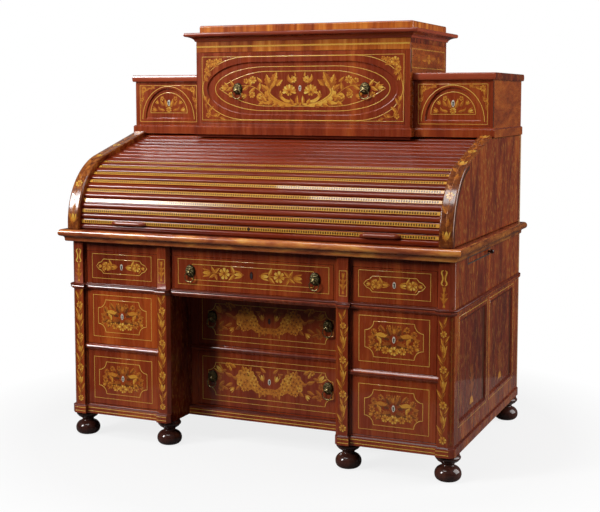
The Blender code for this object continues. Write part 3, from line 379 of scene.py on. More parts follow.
def evaluated(holder):
    bpy.context.view_layer.update()
    ready = bpy.data.meshes.new_from_object(holder.evaluated_get(bpy.context.evaluated_depsgraph_get()))
    bpy.data.objects.remove(holder)
    return ready


def bevelled(mesh, width, segments=1, limit=28.0, even=False):
    if even:
        mesh.shade_smooth()
    holder = bpy.data.objects.new("bevelHolder", mesh)
    scene.collection.objects.link(holder)
    cut = holder.modifiers.new("softEdge", "BEVEL")
    cut.width = width
    cut.segments = segments
    cut.limit_method = "ANGLE"
    cut.angle_limit = math.radians(limit)
    cut.use_clamp_overlap = False
    if even:
        holder.modifiers.new("evenNormals", "WEIGHTED_NORMAL").weight = 100  # flat faces stay flat
    return evaluated(holder)


def mergedCopy(node):
    work = bmesh.new()
    work.from_mesh(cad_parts[node].data)
    bmesh.ops.remove_doubles(work, verts=work.verts, dist=1e-5)
    bmesh.ops.dissolve_limit(work, angle_limit=math.radians(0.8), verts=work.verts, edges=work.edges)
    mesh = bpy.data.meshes.new(node)
    work.to_mesh(mesh)
    work.free()
    mesh.materials.clear()
    return mesh


def clamped(value):
    return min(max(value, 0.0), 1.0)


def smoothLine(points, steps):
    line = []  # points of a flowing line through the given ones
    for i in range(len(points) - 1):
        near = (points[max(i - 1, 0)], points[i], points[i + 1], points[min(i + 2, len(points) - 1)])
        for k in range(steps):
            t = k / steps
            pull = (-t + 2 * t * t - t ** 3, 2 - 5 * t * t + 3 * t ** 3, t + 4 * t * t - 3 * t ** 3, t ** 3 - t * t)
            line.append(tuple(sum(w * c[a] for w, c in zip(pull, near)) / 2 for a in range(len(points[0]))))
    line.append(tuple(points[-1]))
    return line


def box(node):
    low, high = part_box(node)
    return low.x, high.x, low.y, high.y, low.z, high.z


# Main sizes, read from the frame; the pilasters stand 6 mm behind the plinth's front
frontY, backY = -0.445, box("right_pedestal")[3]
bayY = box("drawer_left_lower")[2]
chestY = box("drawer_kneehole_lower")[2]
friezeY = box("drawer_centre_frieze")[2]
innerX = box("centre_carcase")[1]
boardX1, boardY0, boardY1, boardZ0, boardZ1 = box("desk_board")[1:]
railX0, outerX, railY, railBack, railZ0 = box("rolltop_side_right")[:5]
stageY0, stageZ0 = box("upper_stage")[2], box("upper_stage")[4]

# Turned bun feet
footLook = {
    "radius": 0.0465, "spokes": 56,
    "profile": ((0.30, 0.0), (0.58, 0.0), (0.76, 0.035), (0.91, 0.12), (0.97, 0.25), (0.92, 0.38), (0.76, 0.49),
                (0.55, 0.55), (0.46, 0.59), (0.47, 0.64), (0.56, 0.69), (0.70, 0.735), (0.78, 0.77), (0.76, 0.79),
                (0.84, 0.81), (0.90, 0.85), (0.91, 0.90), (0.86, 0.94), (0.83, 0.955), (0.83, 1.0)),
}
for node in [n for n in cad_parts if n.startswith("foot_")]:
    x0, x1, y0, y1, z0, z1 = box(node)
    midX, midY = (x0 + x1) / 2, (y0 + y1) / 2
    rings = []
    for radius, up in smoothLine(footLook["profile"], 5):
        reach = radius * footLook["radius"]
        height = z0 + (z1 - z0) * clamped(up)
        rings.append([(midX + reach * math.cos(t), midY + reach * math.sin(t), height)
                      for t in turnsOf(footLook["spokes"])])
    work = bmesh.new()
    addLoft(work, rings)
    addPiece("turned_" + node, meshFrom(node, work), "carcase", ["darkTurned"], [node], 50)


# Moulded slabs: rings of one plan, drawn in by a profile from the bottom up
def mouldedSlab(name, plan, edge, low, high, profile):
    work = bmesh.new()
    flowing = [(edge * a, low + high * clamped(b)) for a, b in smoothLine(profile, 3)]
    addLoft(work, [[(x, y, z) for x, y in plan(inset)] for inset, z in flowing])
    return meshFrom(name, work)


boardLook = {
    "edge": 0.030,
    "profile": ((0.74, 0.0), (0.64, 0.05), (0.61, 0.20), (0.57, 0.32), (0.45, 0.40), (0.28, 0.43), (0.11, 0.48),
                (0.02, 0.58), (0.0, 0.70), (0.05, 0.84), (0.18, 0.95), (0.38, 1.0), (0.62, 1.0), (1.0, 1.0)),
}


def boardPlan(inset):
    return corners(inset - boardX1, boardX1 - inset, boardY0 + inset, boardY1 - inset)


def boardFinish(at, out):
    if abs(out.x) > 0.6:
        return "edgeDeep"
    return "mahoganyLong" if out.z > 0.98 else "edgeLong"


mesh = mouldedSlab("board", boardPlan, boardLook["edge"], boardZ0, boardZ1 - boardZ0, boardLook["profile"])
boardFinishes = ["edgeLong", "edgeDeep", "mahoganyLong"]
addPiece("desk_board_moulded", mesh, "carcase", boardFinishes, ["desk_board"], 42, boardFinish)

corniceLook = {
    "step": 0.037, "height": 0.050, "flush": 0.0165,
    "profile": ((0.0, 0.0), (0.0, 0.16), (0.0, 0.33), (0.08, 0.345), (0.13, 0.38), (0.15, 0.43), (0.19, 0.49),
                (0.29, 0.56), (0.46, 0.63), (0.68, 0.685), (0.88, 0.71), (0.95, 0.74), (0.985, 0.78), (1.0, 0.83),
                (1.0, 0.92), (0.96, 0.975), (0.88, 1.0)),
}
corniceX1, corniceY0, corniceY1, corniceZ0, corniceZ1 = box("cornice")[1:]
centreX = corniceX1 - corniceLook["step"]
centreY = corniceY0 + corniceLook["step"]
centreBack = corniceY1 - corniceLook["step"]
flushZ = corniceZ0 + corniceLook["flush"]


def cornicePlan(out):
    return corners(-centreX - out, centreX + out, centreY - out, centreBack + out)


def corniceFinish(at, out):
    if at.z < flushZ and abs(out.z) < 0.5:
        return "goldenCross" if abs(out.x) < 0.5 else "mahoganyPanel"
    return "corniceDeep" if abs(out.x) > abs(out.y) else "corniceLong"


mesh = mouldedSlab("cornice", cornicePlan, corniceLook["step"], corniceZ0, corniceLook["height"],
                   corniceLook["profile"])
corniceFinishes = ["corniceLong", "corniceDeep", "goldenCross", "mahoganyPanel"]
addPiece("cornice_moulded", mesh, "carcase", corniceFinishes, ["cornice"], 40, corniceFinish)

atticLook = {"frontInset": 0.0245, "edge": 0.006, "segments": 4, "sink": 0.001}
work = bmesh.new()
atticY, atticZ = centreY + atticLook["frontInset"], corniceZ0 + corniceLook["height"] - atticLook["sink"]
addBlock(work, -centreX, centreX, atticY, centreBack, atticZ, corniceZ1)
mesh = bevelled(meshFrom("attic", work), atticLook["edge"], atticLook["segments"], even=True)
addPiece("attic_block", mesh, "carcase", ["goldenCross", "corniceLong"],
         pick=lambda at, out: "corniceLong" if out.z > 0.8 else "goldenCross")

# Roll-top sides with rounded edges: upright, knuckle and slope
sideLook = {
    "edge": 0.0058, "segments": 5, "knuckle": 0.2546, "rise": 0.020, "slope": math.radians(15.5), "steps": 44,
    "tuck": 0.035, "clear": 0.0003,
}
knuckleY = railY + sideLook["knuckle"]
knuckleZ = boardZ1 + sideLook["rise"]


def knuckleAt(reach, lean):
    return knuckleY - reach * math.sin(lean), knuckleZ + reach * math.cos(lean)


def knuckleLine(reach, steps):
    slope = sideLook["slope"]
    return [knuckleAt(reach, slope + (quarter - slope) * k / steps) for k in range(steps + 1)]


def trackAt(run, radius):
    slope = sideLook["slope"]  # place and lean, this far up from the board
    if run < sideLook["rise"]:
        return knuckleY - radius, boardZ1 + run, quarter
    run -= sideLook["rise"]
    arc = radius * (quarter - slope)
    if run < arc:
        lean = quarter - run / radius
        return (*knuckleAt(radius, lean), lean)
    y, z = knuckleAt(radius, slope)
    return y + (run - arc) * math.cos(slope), z + (run - arc) * math.sin(slope), slope


slopeY, slopeZ = knuckleAt(sideLook["knuckle"], sideLook["slope"])
slopeEnd = stageY0 + sideLook["tuck"] - sideLook["clear"]
slopeTop = slopeZ + (slopeEnd - slopeY) * math.tan(sideLook["slope"])
sideTop = stageZ0 - sideLook["clear"]
outline = [(railY, railZ0), (railBack, railZ0), (railBack, sideTop), (slopeEnd, sideTop), (slopeEnd, slopeTop)]
outline += knuckleLine(sideLook["knuckle"], sideLook["steps"])
for sideName, side in sides:
    work = bmesh.new()
    addLoft(work, [[(side * x, y, z) for y, z in outline] for x in (railX0, outerX)])
    mesh = bevelled(meshFrom("rolltop", work), sideLook["edge"], sideLook["segments"], 40.0, True)
    # the right rail gets the darker copy of the burr: painted shade
    edgeName = "railBurr" if side < 0 else "railShade"
    addPiece("rolltop_side_" + sideName + "_rounded", mesh, "carcase", [edgeName, "mahoganySide"],
             ["rolltop_side_" + sideName], pick=lambda at, out: "mahoganySide" if abs(out.x) > 0.9 else edgeName)
print("feet, board, cornice and roll-top sides done")

# Carcases: the frame's own shapes with softened edges
carcaseLook = {"edge": 0.0006, "smooth": 20, "pigeonhole": 0.0012, "back": 0.002}
capLook = {"middle": 1.3376, "half": 0.0128, "bulge": 0.0034, "sink": 0.0075, "front": 0.0210, "reach": 0.7390,
           "steps": 14}
carcaseFinishes = ["mahoganyUpright", "mahoganySide", "mahoganyLong", "mahoganyPanel", "darkLong", "stageDeep"]


def carcaseFinish(at, out):
    if out.z > 0.3 and at.z < 0.2:
        return "darkLong"
    if abs(out.y) > 0.5:
        return "mahoganyUpright"
    if abs(out.z) > 0.7:
        return "mahoganyLong"
    if at.z > stageZ0:
        return "mahoganyPanel" if at.z > capLook["middle"] and abs(at.x) < centreX + 0.01 else "stageDeep"
    sunk = abs(at.x) < outerX - 0.003 and at.z < boardZ0  # sunk panels and kneehole walls
    return "mahoganyPanel" if sunk else "mahoganySide"


for node in ("left_pedestal", "right_pedestal", "centre_carcase", "upper_stage"):
    mesh = bevelled(mergedCopy(node), carcaseLook["edge"])
    addPiece(node + "_softened", mesh, "carcase", carcaseFinishes, [node], carcaseLook["smooth"],
             carcaseFinish)
for node, finishName, edge in (("pigeonhole_unit", "trayOak", "pigeonhole"), ("back_panel", "backOak", "back")):
    mesh = bevelled(mergedCopy(node), carcaseLook[edge])
    addPiece(node + "_softened", mesh, "carcase", [finishName], [node], carcaseLook["smooth"])
print("carcases done")

# Drawers: veneered front with a bevelled edge, open tray behind
drawerLook = {
    "front": 0.020, "edge": 0.0010, "lift": 0.0006, "cove": 0.0055, "sunk": 0.006, "coveSteps": 6, "lip": 0.0008,
    "wall": 0.010, "floor": 0.008, "drop": 0.011, "play": 0.0012, "behind": 0.0002, "smooth": 20,
}
archLook = {"sill": 0.0176, "side": 0.031, "top": 0.018, "steps": 48}
ovalLook = {"drop": 0.004, "halfX": 0.3900, "high": 0.1015, "end": 0.204, "steps": 36}
drawerNodes = [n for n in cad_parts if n.startswith("drawer_")]


def ovalLine(midX, midZ, halfX, halfZ, start, end, steps):
    turns = [start + (end - start) * k / steps for k in range(steps + 1)]
    return [(midX + halfX * math.cos(t), midZ + halfZ * math.sin(t)) for t in turns]


def longOval(midZ, halfX, halfZ, end, pointed=False):
    line = []
    for side in (1, -1):
        for k in range(ovalLook["steps"] + 1):
            t = -1.0 + 2.0 * k / ovalLook["steps"]
            u, v = (1.0 - abs(t), t * (2.0 - abs(t))) if pointed else (math.cos(quarter * t), math.sin(quarter * t))
            line.append((side * (halfX - end + end * u), midZ + side * halfZ * v))
    return line


sunkShapes = {}
for sideName, side in sides:
    x0, x1, y0, y1, z0, z1 = box("drawer_upper_" + sideName)
    sill = z0 + archLook["sill"]
    halfX, high = (x1 - x0) / 2 - archLook["side"], z1 - archLook["top"] - sill
    sunkShapes["drawer_upper_" + sideName] = {"midX": (x0 + x1) / 2, "low": sill, "halfX": halfX, "high": high}
z0, z1 = box("drawer_upper_centre")[4:]
sunkShapes["drawer_upper_centre"] = {**ovalLook, "low": (z0 + z1) / 2 - ovalLook["drop"]}


def sunkOutline(node, inset):
    shape = sunkShapes[node]
    halfX, high = shape["halfX"] - inset, shape["high"] - inset
    if node.endswith("centre"):
        return longOval(shape["low"], halfX, high, shape["end"] - inset)
    return ovalLine(shape["midX"], shape["low"] + inset, halfX, high - inset, 0.0, math.pi, archLook["steps"])


def drawerFront(node, work):
    x0, x1, y0, y1, z0, z1 = box(node)
    z0 += drawerLook["lift"]
    if node not in sunkShapes:
        addBlock(work, x0, x1, y0, y0 + drawerLook["front"], z0, z1)
        return
    cove = []  # quarter-round hollow from the face down to the sunk floor
    for k in range(drawerLook["coveSteps"] + 1):
        turn = quarter * k / drawerLook["coveSteps"]
        cove.append((drawerLook["cove"] * (1 - math.cos(turn)), drawerLook["sunk"] * math.sin(turn)))
    cove.append((drawerLook["cove"] + drawerLook["lip"], drawerLook["sunk"]))
    rims = vertRows(work, [[(x, y0 + depth, z) for x, z in sunkOutline(node, inset)] for inset, depth in cove])
    bridge(work, rims)
    work.faces.new(rims[-1])
    depths = (y0, y0 + drawerLook["front"])
    face, behind = vertRows(work, [[(x, y, z) for x, z in corners(x0, x1, z0, z1)] for y in depths])
    every = face + rims[0]
    for tri in tessellate_polygon([[v.co for v in face], [v.co for v in rims[0]]]):
        work.faces.new([every[i] for i in tri])
    bridge(work, [face, behind])
    work.faces.new(behind)


for node in drawerNodes:
    x0, x1, y0, y1, z0, z1 = box(node)
    work = bmesh.new()
    drawerFront(node, work)
    front = meshFrom(node, work)
    if node not in sunkShapes:
        front = bevelled(front, drawerLook["edge"])
    work = bmesh.new()
    work.from_mesh(front)
    left, right = x0 + drawerLook["play"], x1 - drawerLook["play"]
    start, high = y0 + drawerLook["front"] + drawerLook["behind"], z1 - drawerLook["drop"]
    wall = drawerLook["wall"]
    rings = [[(x, y, z) for x, y in corners(left, right, start, y1)] for z in (z0, high)]
    inner = corners(left + wall, right - wall, start + wall, y1 - wall)
    rings += [[(x, y, z) for x, y in inner] for z in (high, z0 + drawerLook["floor"])]
    addLoft(work, rings, 1)
    frontFinish = "mahoganyWarm" if node == "drawer_left_middle" else "mahoganyUpright"
    addPiece(node + "_veneered", meshFrom(node, work), node, [frontFinish, "trayOak"], [node],
             drawerLook["smooth"])
print("drawers done:", len(drawerNodes))

# Half-round beads at the waist and between the drawers, and the nosings of the cap boards
beadLook = {
    "waist": (0.0094, 0.0060), "divider": (0.0080, 0.0050), "sink": 0.003, "steps": 12, "smooth": 40,
    "waistZ": 0.5730, "dividerZ": 0.341, "innerCant": 0.012, "outerCant": 0.016, "bay": 0.009,
}
bayInX = box("drawer_right_lower")[0] - beadLook["bay"]
bayOutX = box("drawer_right_lower")[1] + beadLook["bay"]


def halfRound(out, half, sink, steps):
    turns = [-quarter + math.pi * k / steps for k in range(steps + 1)]
    return [(out * math.cos(t), half * math.sin(t)) for t in turns] + [(-sink, half), (-sink, -half)]


def pedestalPlan(grow):
    front, bayFront, outside = frontY - grow, bayY - grow, outerX + grow
    return [(innerX, front + beadLook["innerCant"]), (innerX + beadLook["innerCant"], front), (bayInX + grow, front),
            (bayInX + grow, bayFront), (bayOutX - grow, bayFront), (bayOutX - grow, front),
            (outside - beadLook["outerCant"], front), (outside, front + beadLook["outerCant"]), (outside, backY)]


def capPlan(grow):
    front, reach = capLook["front"] - grow, capLook["reach"] + grow
    return [(centreX + 0.0004, front), (reach, front), (reach, backY)]


def addSwept(work, side, plan, z, section):
    paths = [[(side * x, y, z + up) for x, y in plan(out)] for out, up in section]
    addLoft(work, list(zip(*paths)))


def addBar(work, x0, x1, y, z, section):
    addLoft(work, [[(x, y - out, z + up) for out, up in section] for x in (x0, x1)])


waist, divider = [halfRound(*beadLook[kind], beadLook["sink"], beadLook["steps"]) for kind in ("waist", "divider")]
for sideName, side in sides:
    work = bmesh.new()
    addSwept(work, side, pedestalPlan, beadLook["waistZ"], waist)
    addBar(work, side * bayInX, side * bayOutX, bayY, beadLook["dividerZ"], divider)
    addPiece("beads_" + sideName, meshFrom("beads", work), "carcase", ["darkLong"], (),
             beadLook["smooth"])
work = bmesh.new()
addBar(work, -innerX, innerX, friezeY, beadLook["waistZ"], waist)
addBar(work, -innerX, innerX, chestY, beadLook["dividerZ"], divider)
addPiece("beads_centre", meshFrom("beads", work), "carcase", ["darkLong"], (), beadLook["smooth"])
for sideName, side in sides:
    work = bmesh.new()
    addSwept(work, side, capPlan, capLook["middle"],
             halfRound(capLook["bulge"], capLook["half"], capLook["sink"], capLook["steps"]))
    addPiece("cap_nosing_" + sideName, meshFrom("nosing", work), "carcase", ["corniceLong", "mahoganyPanel"],
             (),
             beadLook["smooth"], lambda at, out: "mahoganyPanel" if abs(out.x) > abs(out.y) else "corniceLong")
pelmetLook = {"inset": 0.001, "front": 0.012, "thick": 0.005, "drop": 0.010, "lap": 0.0004}
pelmetX, pelmetY = centreX - pelmetLook["inset"], stageY0 + pelmetLook["front"]
work = bmesh.new()
addBlock(work, -pelmetX, pelmetX, pelmetY, pelmetY + pelmetLook["thick"],
         stageZ0 - pelmetLook["drop"], stageZ0 + pelmetLook["lap"])
addPiece("curtain_pelmet", meshFrom("pelmet", work), "carcase", ["slatRed"])
print("beads done")

# Tambour: slats with a bead below and a band above; dots of boxwood on the lower slats
slatLook = {
    "inset": 0.017, "thick": 0.014, "gap": 0.0015, "pitch": 0.0390006, "lead": 0.0005, "ends": 0.0005,
    "chamfer": 0.0015,
    "dotStep": 0.0088, "dot": (0.0047, 0.0076, 0.0011), "dotTone": 0.03, "dotEnds": 0.012, "dotUp": 0.53,
    "strip": (0.22, 0.84), "stripLift": 0.0003, "stripSink": 0.001, "stripEnds": 0.003, "stripTone": 0.82, "band": 0.61,
    "profile": ((1.0, 0.10), (1.0, 0.42), (0.92, 0.57), (0.70, 0.61), (0.34, 0.62), (0.11, 0.59), (0.03, 0.22),
                (-0.02, 0.22), (-0.08, 0.66), (-0.16, 0.87), (-0.32, 0.98), (-0.50, 1.0), (-0.72, 0.90),
                (-0.90, 0.62), (-1.0, 0.22)),
}
slatX = railX0 - slatLook["ends"]
halfThick = slatLook["thick"] / 2
halfSlat = (slatLook["pitch"] - slatLook["gap"]) / 2
bandTop = halfThick * slatLook["band"]
trackRadius = sideLook["knuckle"] - slatLook["inset"] - halfThick


def tonedShape(name, work, tone):
    mesh = meshFrom(name, work)
    mesh.attributes.new("tone", "FLOAT", "POINT").data.foreach_set("value", [tone] * len(mesh.vertices))
    return bpy.data.objects.new(name, mesh)


work = bmesh.new()
section = [(halfSlat * a, halfThick * b) for a, b in slatLook["profile"]]
section += [(-halfSlat + slatLook["chamfer"], -halfThick), (halfSlat - slatLook["chamfer"], -halfThick)]
addLoft(work, [[(x, a, n) for a, n in section] for x in (-slatX, slatX)])
slatMesh = meshFrom("slatShape", work)
slatMesh.shade_smooth()
slatMesh.set_sharp_from_angle(angle=math.radians(46))
slatShape = bpy.data.objects.new("slatShape", slatMesh)
dotX, dotY, dotZ = slatLook["dot"]
square = corners(-dotX / 2, dotX / 2, -dotY / 2, dotY / 2)
work = bmesh.new()
dotLevels = ((1.0, -dotZ), (1.0, dotZ * 0.5), (0.86, dotZ * 0.6))
addLoft(work, [[(x * k, y * k, z) for x, y in square] for k, z in dotLevels])
dotShape = tonedShape("dotShape", work, slatLook["dotTone"])
stripX = slatX - slatLook["stripEnds"]
stripLow, stripHigh = [halfSlat * part for part in slatLook["strip"]]
stripTop = bandTop + slatLook["stripLift"]
work = bmesh.new()
addBlock(work, -stripX, stripX, stripLow, stripHigh, bandTop - slatLook["stripSink"], stripTop)
stripShape = tonedShape("stripShape", work, slatLook["stripTone"])


# Geometry Nodes helpers: a new tree, what it grows on a mesh, and short ways to its nodes
def newGroup(name, **sockets):
    tree = bpy.data.node_groups.new(name, "GeometryNodeTree")
    for socketName, kind in {"Geometry": "Geometry", **sockets}.items():
        tree.interface.new_socket(socketName, in_out="INPUT", socket_type="NodeSocket" + kind)
    tree.interface.new_socket("Geometry", in_out="OUTPUT", socket_type="NodeSocketGeometry")
    return tree, tree.nodes.new("NodeGroupInput").outputs, tree.nodes.new("NodeGroupOutput").inputs


def grown(tree, values, start=None):
    holder = bpy.data.objects.new("nodeHolder", start or bpy.data.meshes.new("seedMesh"))
    scene.collection.objects.link(holder)
    growth = holder.modifiers.new("growth", "NODES")
    growth.node_group = tree
    for item in tree.interface.items_tree:
        if item.in_out == "INPUT" and item.name in values:
            growth[item.identifier] = values[item.name]
    return evaluated(holder)


def grow(tree, kind, inputs, **settings):
    return addNode(tree, "GeometryNode" + kind, inputs, **settings).outputs[0]


def shapeOf(tree, given):
    return addNode(tree, "GeometryNodeObjectInfo", {"Object": given}).outputs["Geometry"]


def finished(tree, geometry, finish):
    whole = grow(tree, "RealizeInstances", {0: geometry})
    return grow(tree, "SetMaterial", {"Geometry": whole, "Material": finish})


def vectorOf(tree, **parts):
    return addNode(tree, "ShaderNodeCombineXYZ", parts).outputs[0]


slatTree, given, result = newGroup(
    "slatRun", slat="Object", dot="Object", strip="Object", slats="Int", pitch="Float", dots="Int", dotStep="Float",
    dotPlace="Vector", wood="Material", inlay="Material")
rows = grow(slatTree, "MeshLine", {"Count": given["slats"], "Offset": vectorOf(slatTree, Y=given["pitch"])})
slats = grow(slatTree, "InstanceOnPoints", {"Points": rows, "Instance": shapeOf(slatTree, given["slat"])})
dotLine = {"Count": given["dots"], "Start Location": given["dotPlace"],
           "Offset": vectorOf(slatTree, X=given["dotStep"])}
dotLine = grow(slatTree, "MeshLine", dotLine)
dots = grow(slatTree, "InstanceOnPoints", {"Points": dotLine, "Instance": shapeOf(slatTree, given["dot"])})
joined = addNode(slatTree, "GeometryNodeJoinGeometry")
for geometry, finish in ((shapeOf(slatTree, given["strip"]), "inlay"), (dots, "inlay"), (slats, "wood")):
    slatTree.links.new(finished(slatTree, geometry, given[finish]), joined.inputs[0])
slatTree.links.new(joined.outputs[0], result[0])


def makeSlats(node, body, first, count, dotted):
    y, z, lean = trackAt(slatLook["lead"] + slatLook["pitch"] * (first + count / 2), trackRadius)
    dotCount = int(2 * (slatX - slatLook["dotEnds"]) / slatLook["dotStep"])
    reach = slatLook["dotStep"] * (dotCount - 1) / 2
    mesh = grown(slatTree, {
        "slat": slatShape, "slats": count, "pitch": slatLook["pitch"], "strip": stripShape if dotted else None,
        "dot": dotShape, "dots": dotCount if dotted else 0, "dotStep": slatLook["dotStep"],
        "dotPlace": (-reach, halfSlat * slatLook["dotUp"], bandTop),
        "wood": finishes["slatRed"], "inlay": finishes["boxwoodInlay"],
    })
    mesh.transform(Matrix.Translation((0.0, -slatLook["pitch"] * (count - 1) / 2, 0.0)))
    mesh.transform(Matrix.Translation((0.0, y, z)) @ Matrix.Rotation(lean, 4, "X"))
    addPiece(node + "_beaded", mesh, body, (), [node])


makeSlats("tambour_lead_rail", "tambour_lead", 0, 1, True)
for number in range(2, 9):
    makeSlats("tambour_slat_%d" % number, "tambour_slat_%d" % number, number - 1, 1, True)
for number in (1, 2, 3):
    makeSlats("tambour_upper_run_%d" % number, "tambour_upper_run_%d" % number, 5 + 3 * number, 3, False)
print("tambour done")

# Finger grips on the lead rail
gripLook = {
    "taper": 0.020, "steps": 24, "thinEnd": 0.12, "flatEnd": 0.55,
    "section": ((0.0, 0.10), (0.45, 0.0), (0.85, 0.12), (1.0, 0.42), (0.92, 0.74), (0.60, 0.95), (0.0, 1.0)),
}
for sideName, side in sides:
    x0, x1, y0, y1, z0, z1 = box("tambour_grip_" + sideName)
    rings = []
    for k in range(gripLook["steps"] + 1):
        x = x0 + (x1 - x0) * k / gripLook["steps"]
        ends = min(x - x0, x1 - x, gripLook["taper"]) / gripLook["taper"]
        swell = gripLook["thinEnd"] + (1.0 - gripLook["thinEnd"]) * math.sin(quarter * ends)
        high = gripLook["flatEnd"] + (1.0 - gripLook["flatEnd"]) * swell
        rings.append([(x, y1 - (y1 - y0) * out * swell, z0 + (z1 - z0) * (0.5 + (up - 0.5) * high))
                      for out, up in smoothLine(gripLook["section"], 3)])
    work = bmesh.new()
    addLoft(work, rings)
    addPiece("grip_" + sideName + "_carved", meshFrom("grip", work), "tambour_lead", ["mahoganyLong"],
             ["tambour_grip_" + sideName], 45)

# Knob and slide
knobLook = {
    "radius": 0.008, "spokes": 32, "tip": 0.05, "smooth": 50, "slideEdge": 0.0012,
    "profile": ((0.0, 0.0), (0.5, 0.0), (0.46, 0.18), (0.50, 0.30), (0.86, 0.42), (1.0, 0.60), (0.92, 0.80),
                (0.62, 0.95), (0.0, 1.0)),
}
x0, x1, y0, y1, z0, z1 = box("slide_knob")
midY, midZ = (y0 + y1) / 2, (z0 + z1) / 2
rings = []
for radius, along in smoothLine(knobLook["profile"], 4)[1:-1]:
    x, reach = x0 + (x1 - x0) * clamped(along), knobLook["radius"] * max(radius, knobLook["tip"])
    rings.append([(x, midY + reach * math.cos(t), midZ + reach * math.sin(t)) for t in turnsOf(knobLook["spokes"])])
work = bmesh.new()
addLoft(work, rings)
addPiece("slide_knob_turned", meshFrom("knob", work), "side_slide", ["darkTurned"],
         ["slide_knob"], knobLook["smooth"])
mesh = bevelled(mergedCopy("side_slide"), knobLook["slideEdge"])
addPiece("side_slide_softened", mesh, "side_slide", ["mahoganySide"], ["side_slide"], 20)

# Marquetry: shapes are drawn flat as (outline, tone) and laid as thin closed slips on a face
inlayLook = {
    "lift": 0.00018, "sink": 0.0004, "crack": 0.00025, "string": 0.0015, "stringSink": 0.0003, "stringTone": 0.90,
    "layer": 0.000003, "layers": 127, "vary": 0.10, "beat": 12.9898, "middleTone": 0.56,
}
inlayJobs, stringJobs, keyJobs = {}, {}, {}


def flatFace(origin, across, up, out):
    origin, across, up, out = Vector(origin), Vector(across), Vector(up), Vector(out)
    return lambda u, v, lift=0.0: origin + across * u + up * v + out * lift


def frontFace(y, x=0.0, z=0.0):
    return flatFace((x, y, z), (1, 0, 0), (0, 0, 1), (0, -1, 0))


def sideFace(side, x):
    return flatFace((side * x, 0, 0), (0, side, 0), (0, 0, 1), (side, 0, 0))


def frontOf(node, deeper=0.0):
    x0, x1, y0, y1, z0, z1 = box(node)
    z0 += drawerLook["lift"]
    return frontFace(y0 + deeper, (x0 + x1) / 2, (z0 + z1) / 2), (x1 - x0) / 2, (z1 - z0) / 2


def lay(body, face, shapes, lift=0.0):
    inlayJobs.setdefault(body, []).extend((face, outline, tone, lift) for outline, tone in shapes)


def stringLine(body, face, line, closed=True):
    out = face(0.0, 0.0, 1.0) - face(0.0, 0.0, 0.0)
    stringJobs.setdefault(body, []).append(([face(u, v, -inlayLook["stringSink"]) for u, v in line], closed, out))


def keyPlate(body, face, at, kind="bone", size=1.0):
    keyJobs.setdefault(body, []).append((face, at, kind, size))


def turned(shapes, at=(0.0, 0.0), angle=0.0, size=1.0, flip=False):
    c, s = math.cos(angle), math.sin(angle)
    moved = []
    for outline, tone in shapes:
        flat = [(-u, v) if flip else (u, v) for u, v in outline]
        moved.append(([(at[0] + size * (u * c - v * s), at[1] + size * (u * s + v * c)) for u, v in flat], tone))
    return moved


def mirrored(shapes):
    return shapes + [([(-u, v) for u, v in outline], tone) for outline, tone in shapes]


def raised(line, rise):
    return [(u, v + rise) for u, v in line]


def sided(side, line):
    return [(side * u, v) for u, v in line]


def shadesOf(outline, tone):
    return tone if isinstance(tone, list) else [tone] * len(outline)


def livened(shapes, gain, shift):
    middle = inlayLook["middleTone"]
    return [(outline, [middle + gain * (shade - middle) + shift for shade in shadesOf(outline, tone)])
            for outline, tone in shapes]


# Motifs: leaves in two halves, flowers, ribbons, birds and the outlines of panels
def blade(length, bend, swells, every, tones, shade):
    steps = len(swells) - 1
    middle, upper, lower = [], [], []
    for k, swell in enumerate(swells):
        t = k / steps
        lean = math.atan(2 * bend * t)
        u, v = length * t, bend * length * t * t
        middle.append((u, v))
        upper.append((u - math.sin(lean) * swell, v + math.cos(lean) * swell))
        lower.append((u + math.sin(lean) * swell, v - math.cos(lean) * swell))
    along = [*range(0, steps + 1, every), *range(steps - 1, 0, -1)]
    halves = []
    for edge, sign, tone in ((upper, 1, tones[0]), (lower, -1, tones[1])):
        outline = raised(middle[::every], sign * inlayLook["crack"] / 2) + edge[-2:0:-1]
        halves.append((outline, [tone * shade(k, k / steps) for k in along]))
    return halves


def leaf(length, width, bend, light, dark, steps=5):
    swells = [width / 2 * math.sin(math.pi * (k / steps) ** 0.75) for k in range(steps + 1)]
    return blade(length, bend, swells, 1, (light, dark), lambda k, t: 0.72 + 0.28 * t)


def acanthus(length, width, bend, light, dark, lobes=4):
    swells = []
    for k in range(lobes * 4 + 1):
        t = k / (lobes * 4)
        scallop = 0.66 + 0.34 * abs(math.sin(math.pi * lobes * t)) ** 0.6
        swells.append(width / 2 * math.sin(math.pi * min(t, 0.999) ** 0.7) * scallop)
    return blade(length, bend, swells, 4, (light, dark), lambda k, t: (0.70 + 0.30 * t) * (1.0 if k % 4 == 2 else 0.93))


def petal(radius, ring, at, half):
    return [(radius * r * math.cos(at + half * w), radius * r * math.sin(at + half * w)) for r, w in ring]


def blossom(radius, petals, light, heart):
    half = math.pi / petals
    side = ((0.24, -0.55), (0.62, -0.86), (0.90, -0.62), (1.0, -0.26))
    ring = side + ((0.93, 0.0),) + tuple((r, -w) for r, w in side[::-1])
    shapes = []
    for k, turn in enumerate(turnsOf(petals)):
        tones = [light * (0.62 + 0.38 * r) * (1.0 if k % 2 else 0.9) for r, _ in ring]
        shapes.append((petal(radius, ring, turn + half, half), tones))
    core = [(radius * 0.22 * math.cos(t), radius * 0.22 * math.sin(t)) for t in turnsOf(8)]
    return shapes + [(core, heart)]


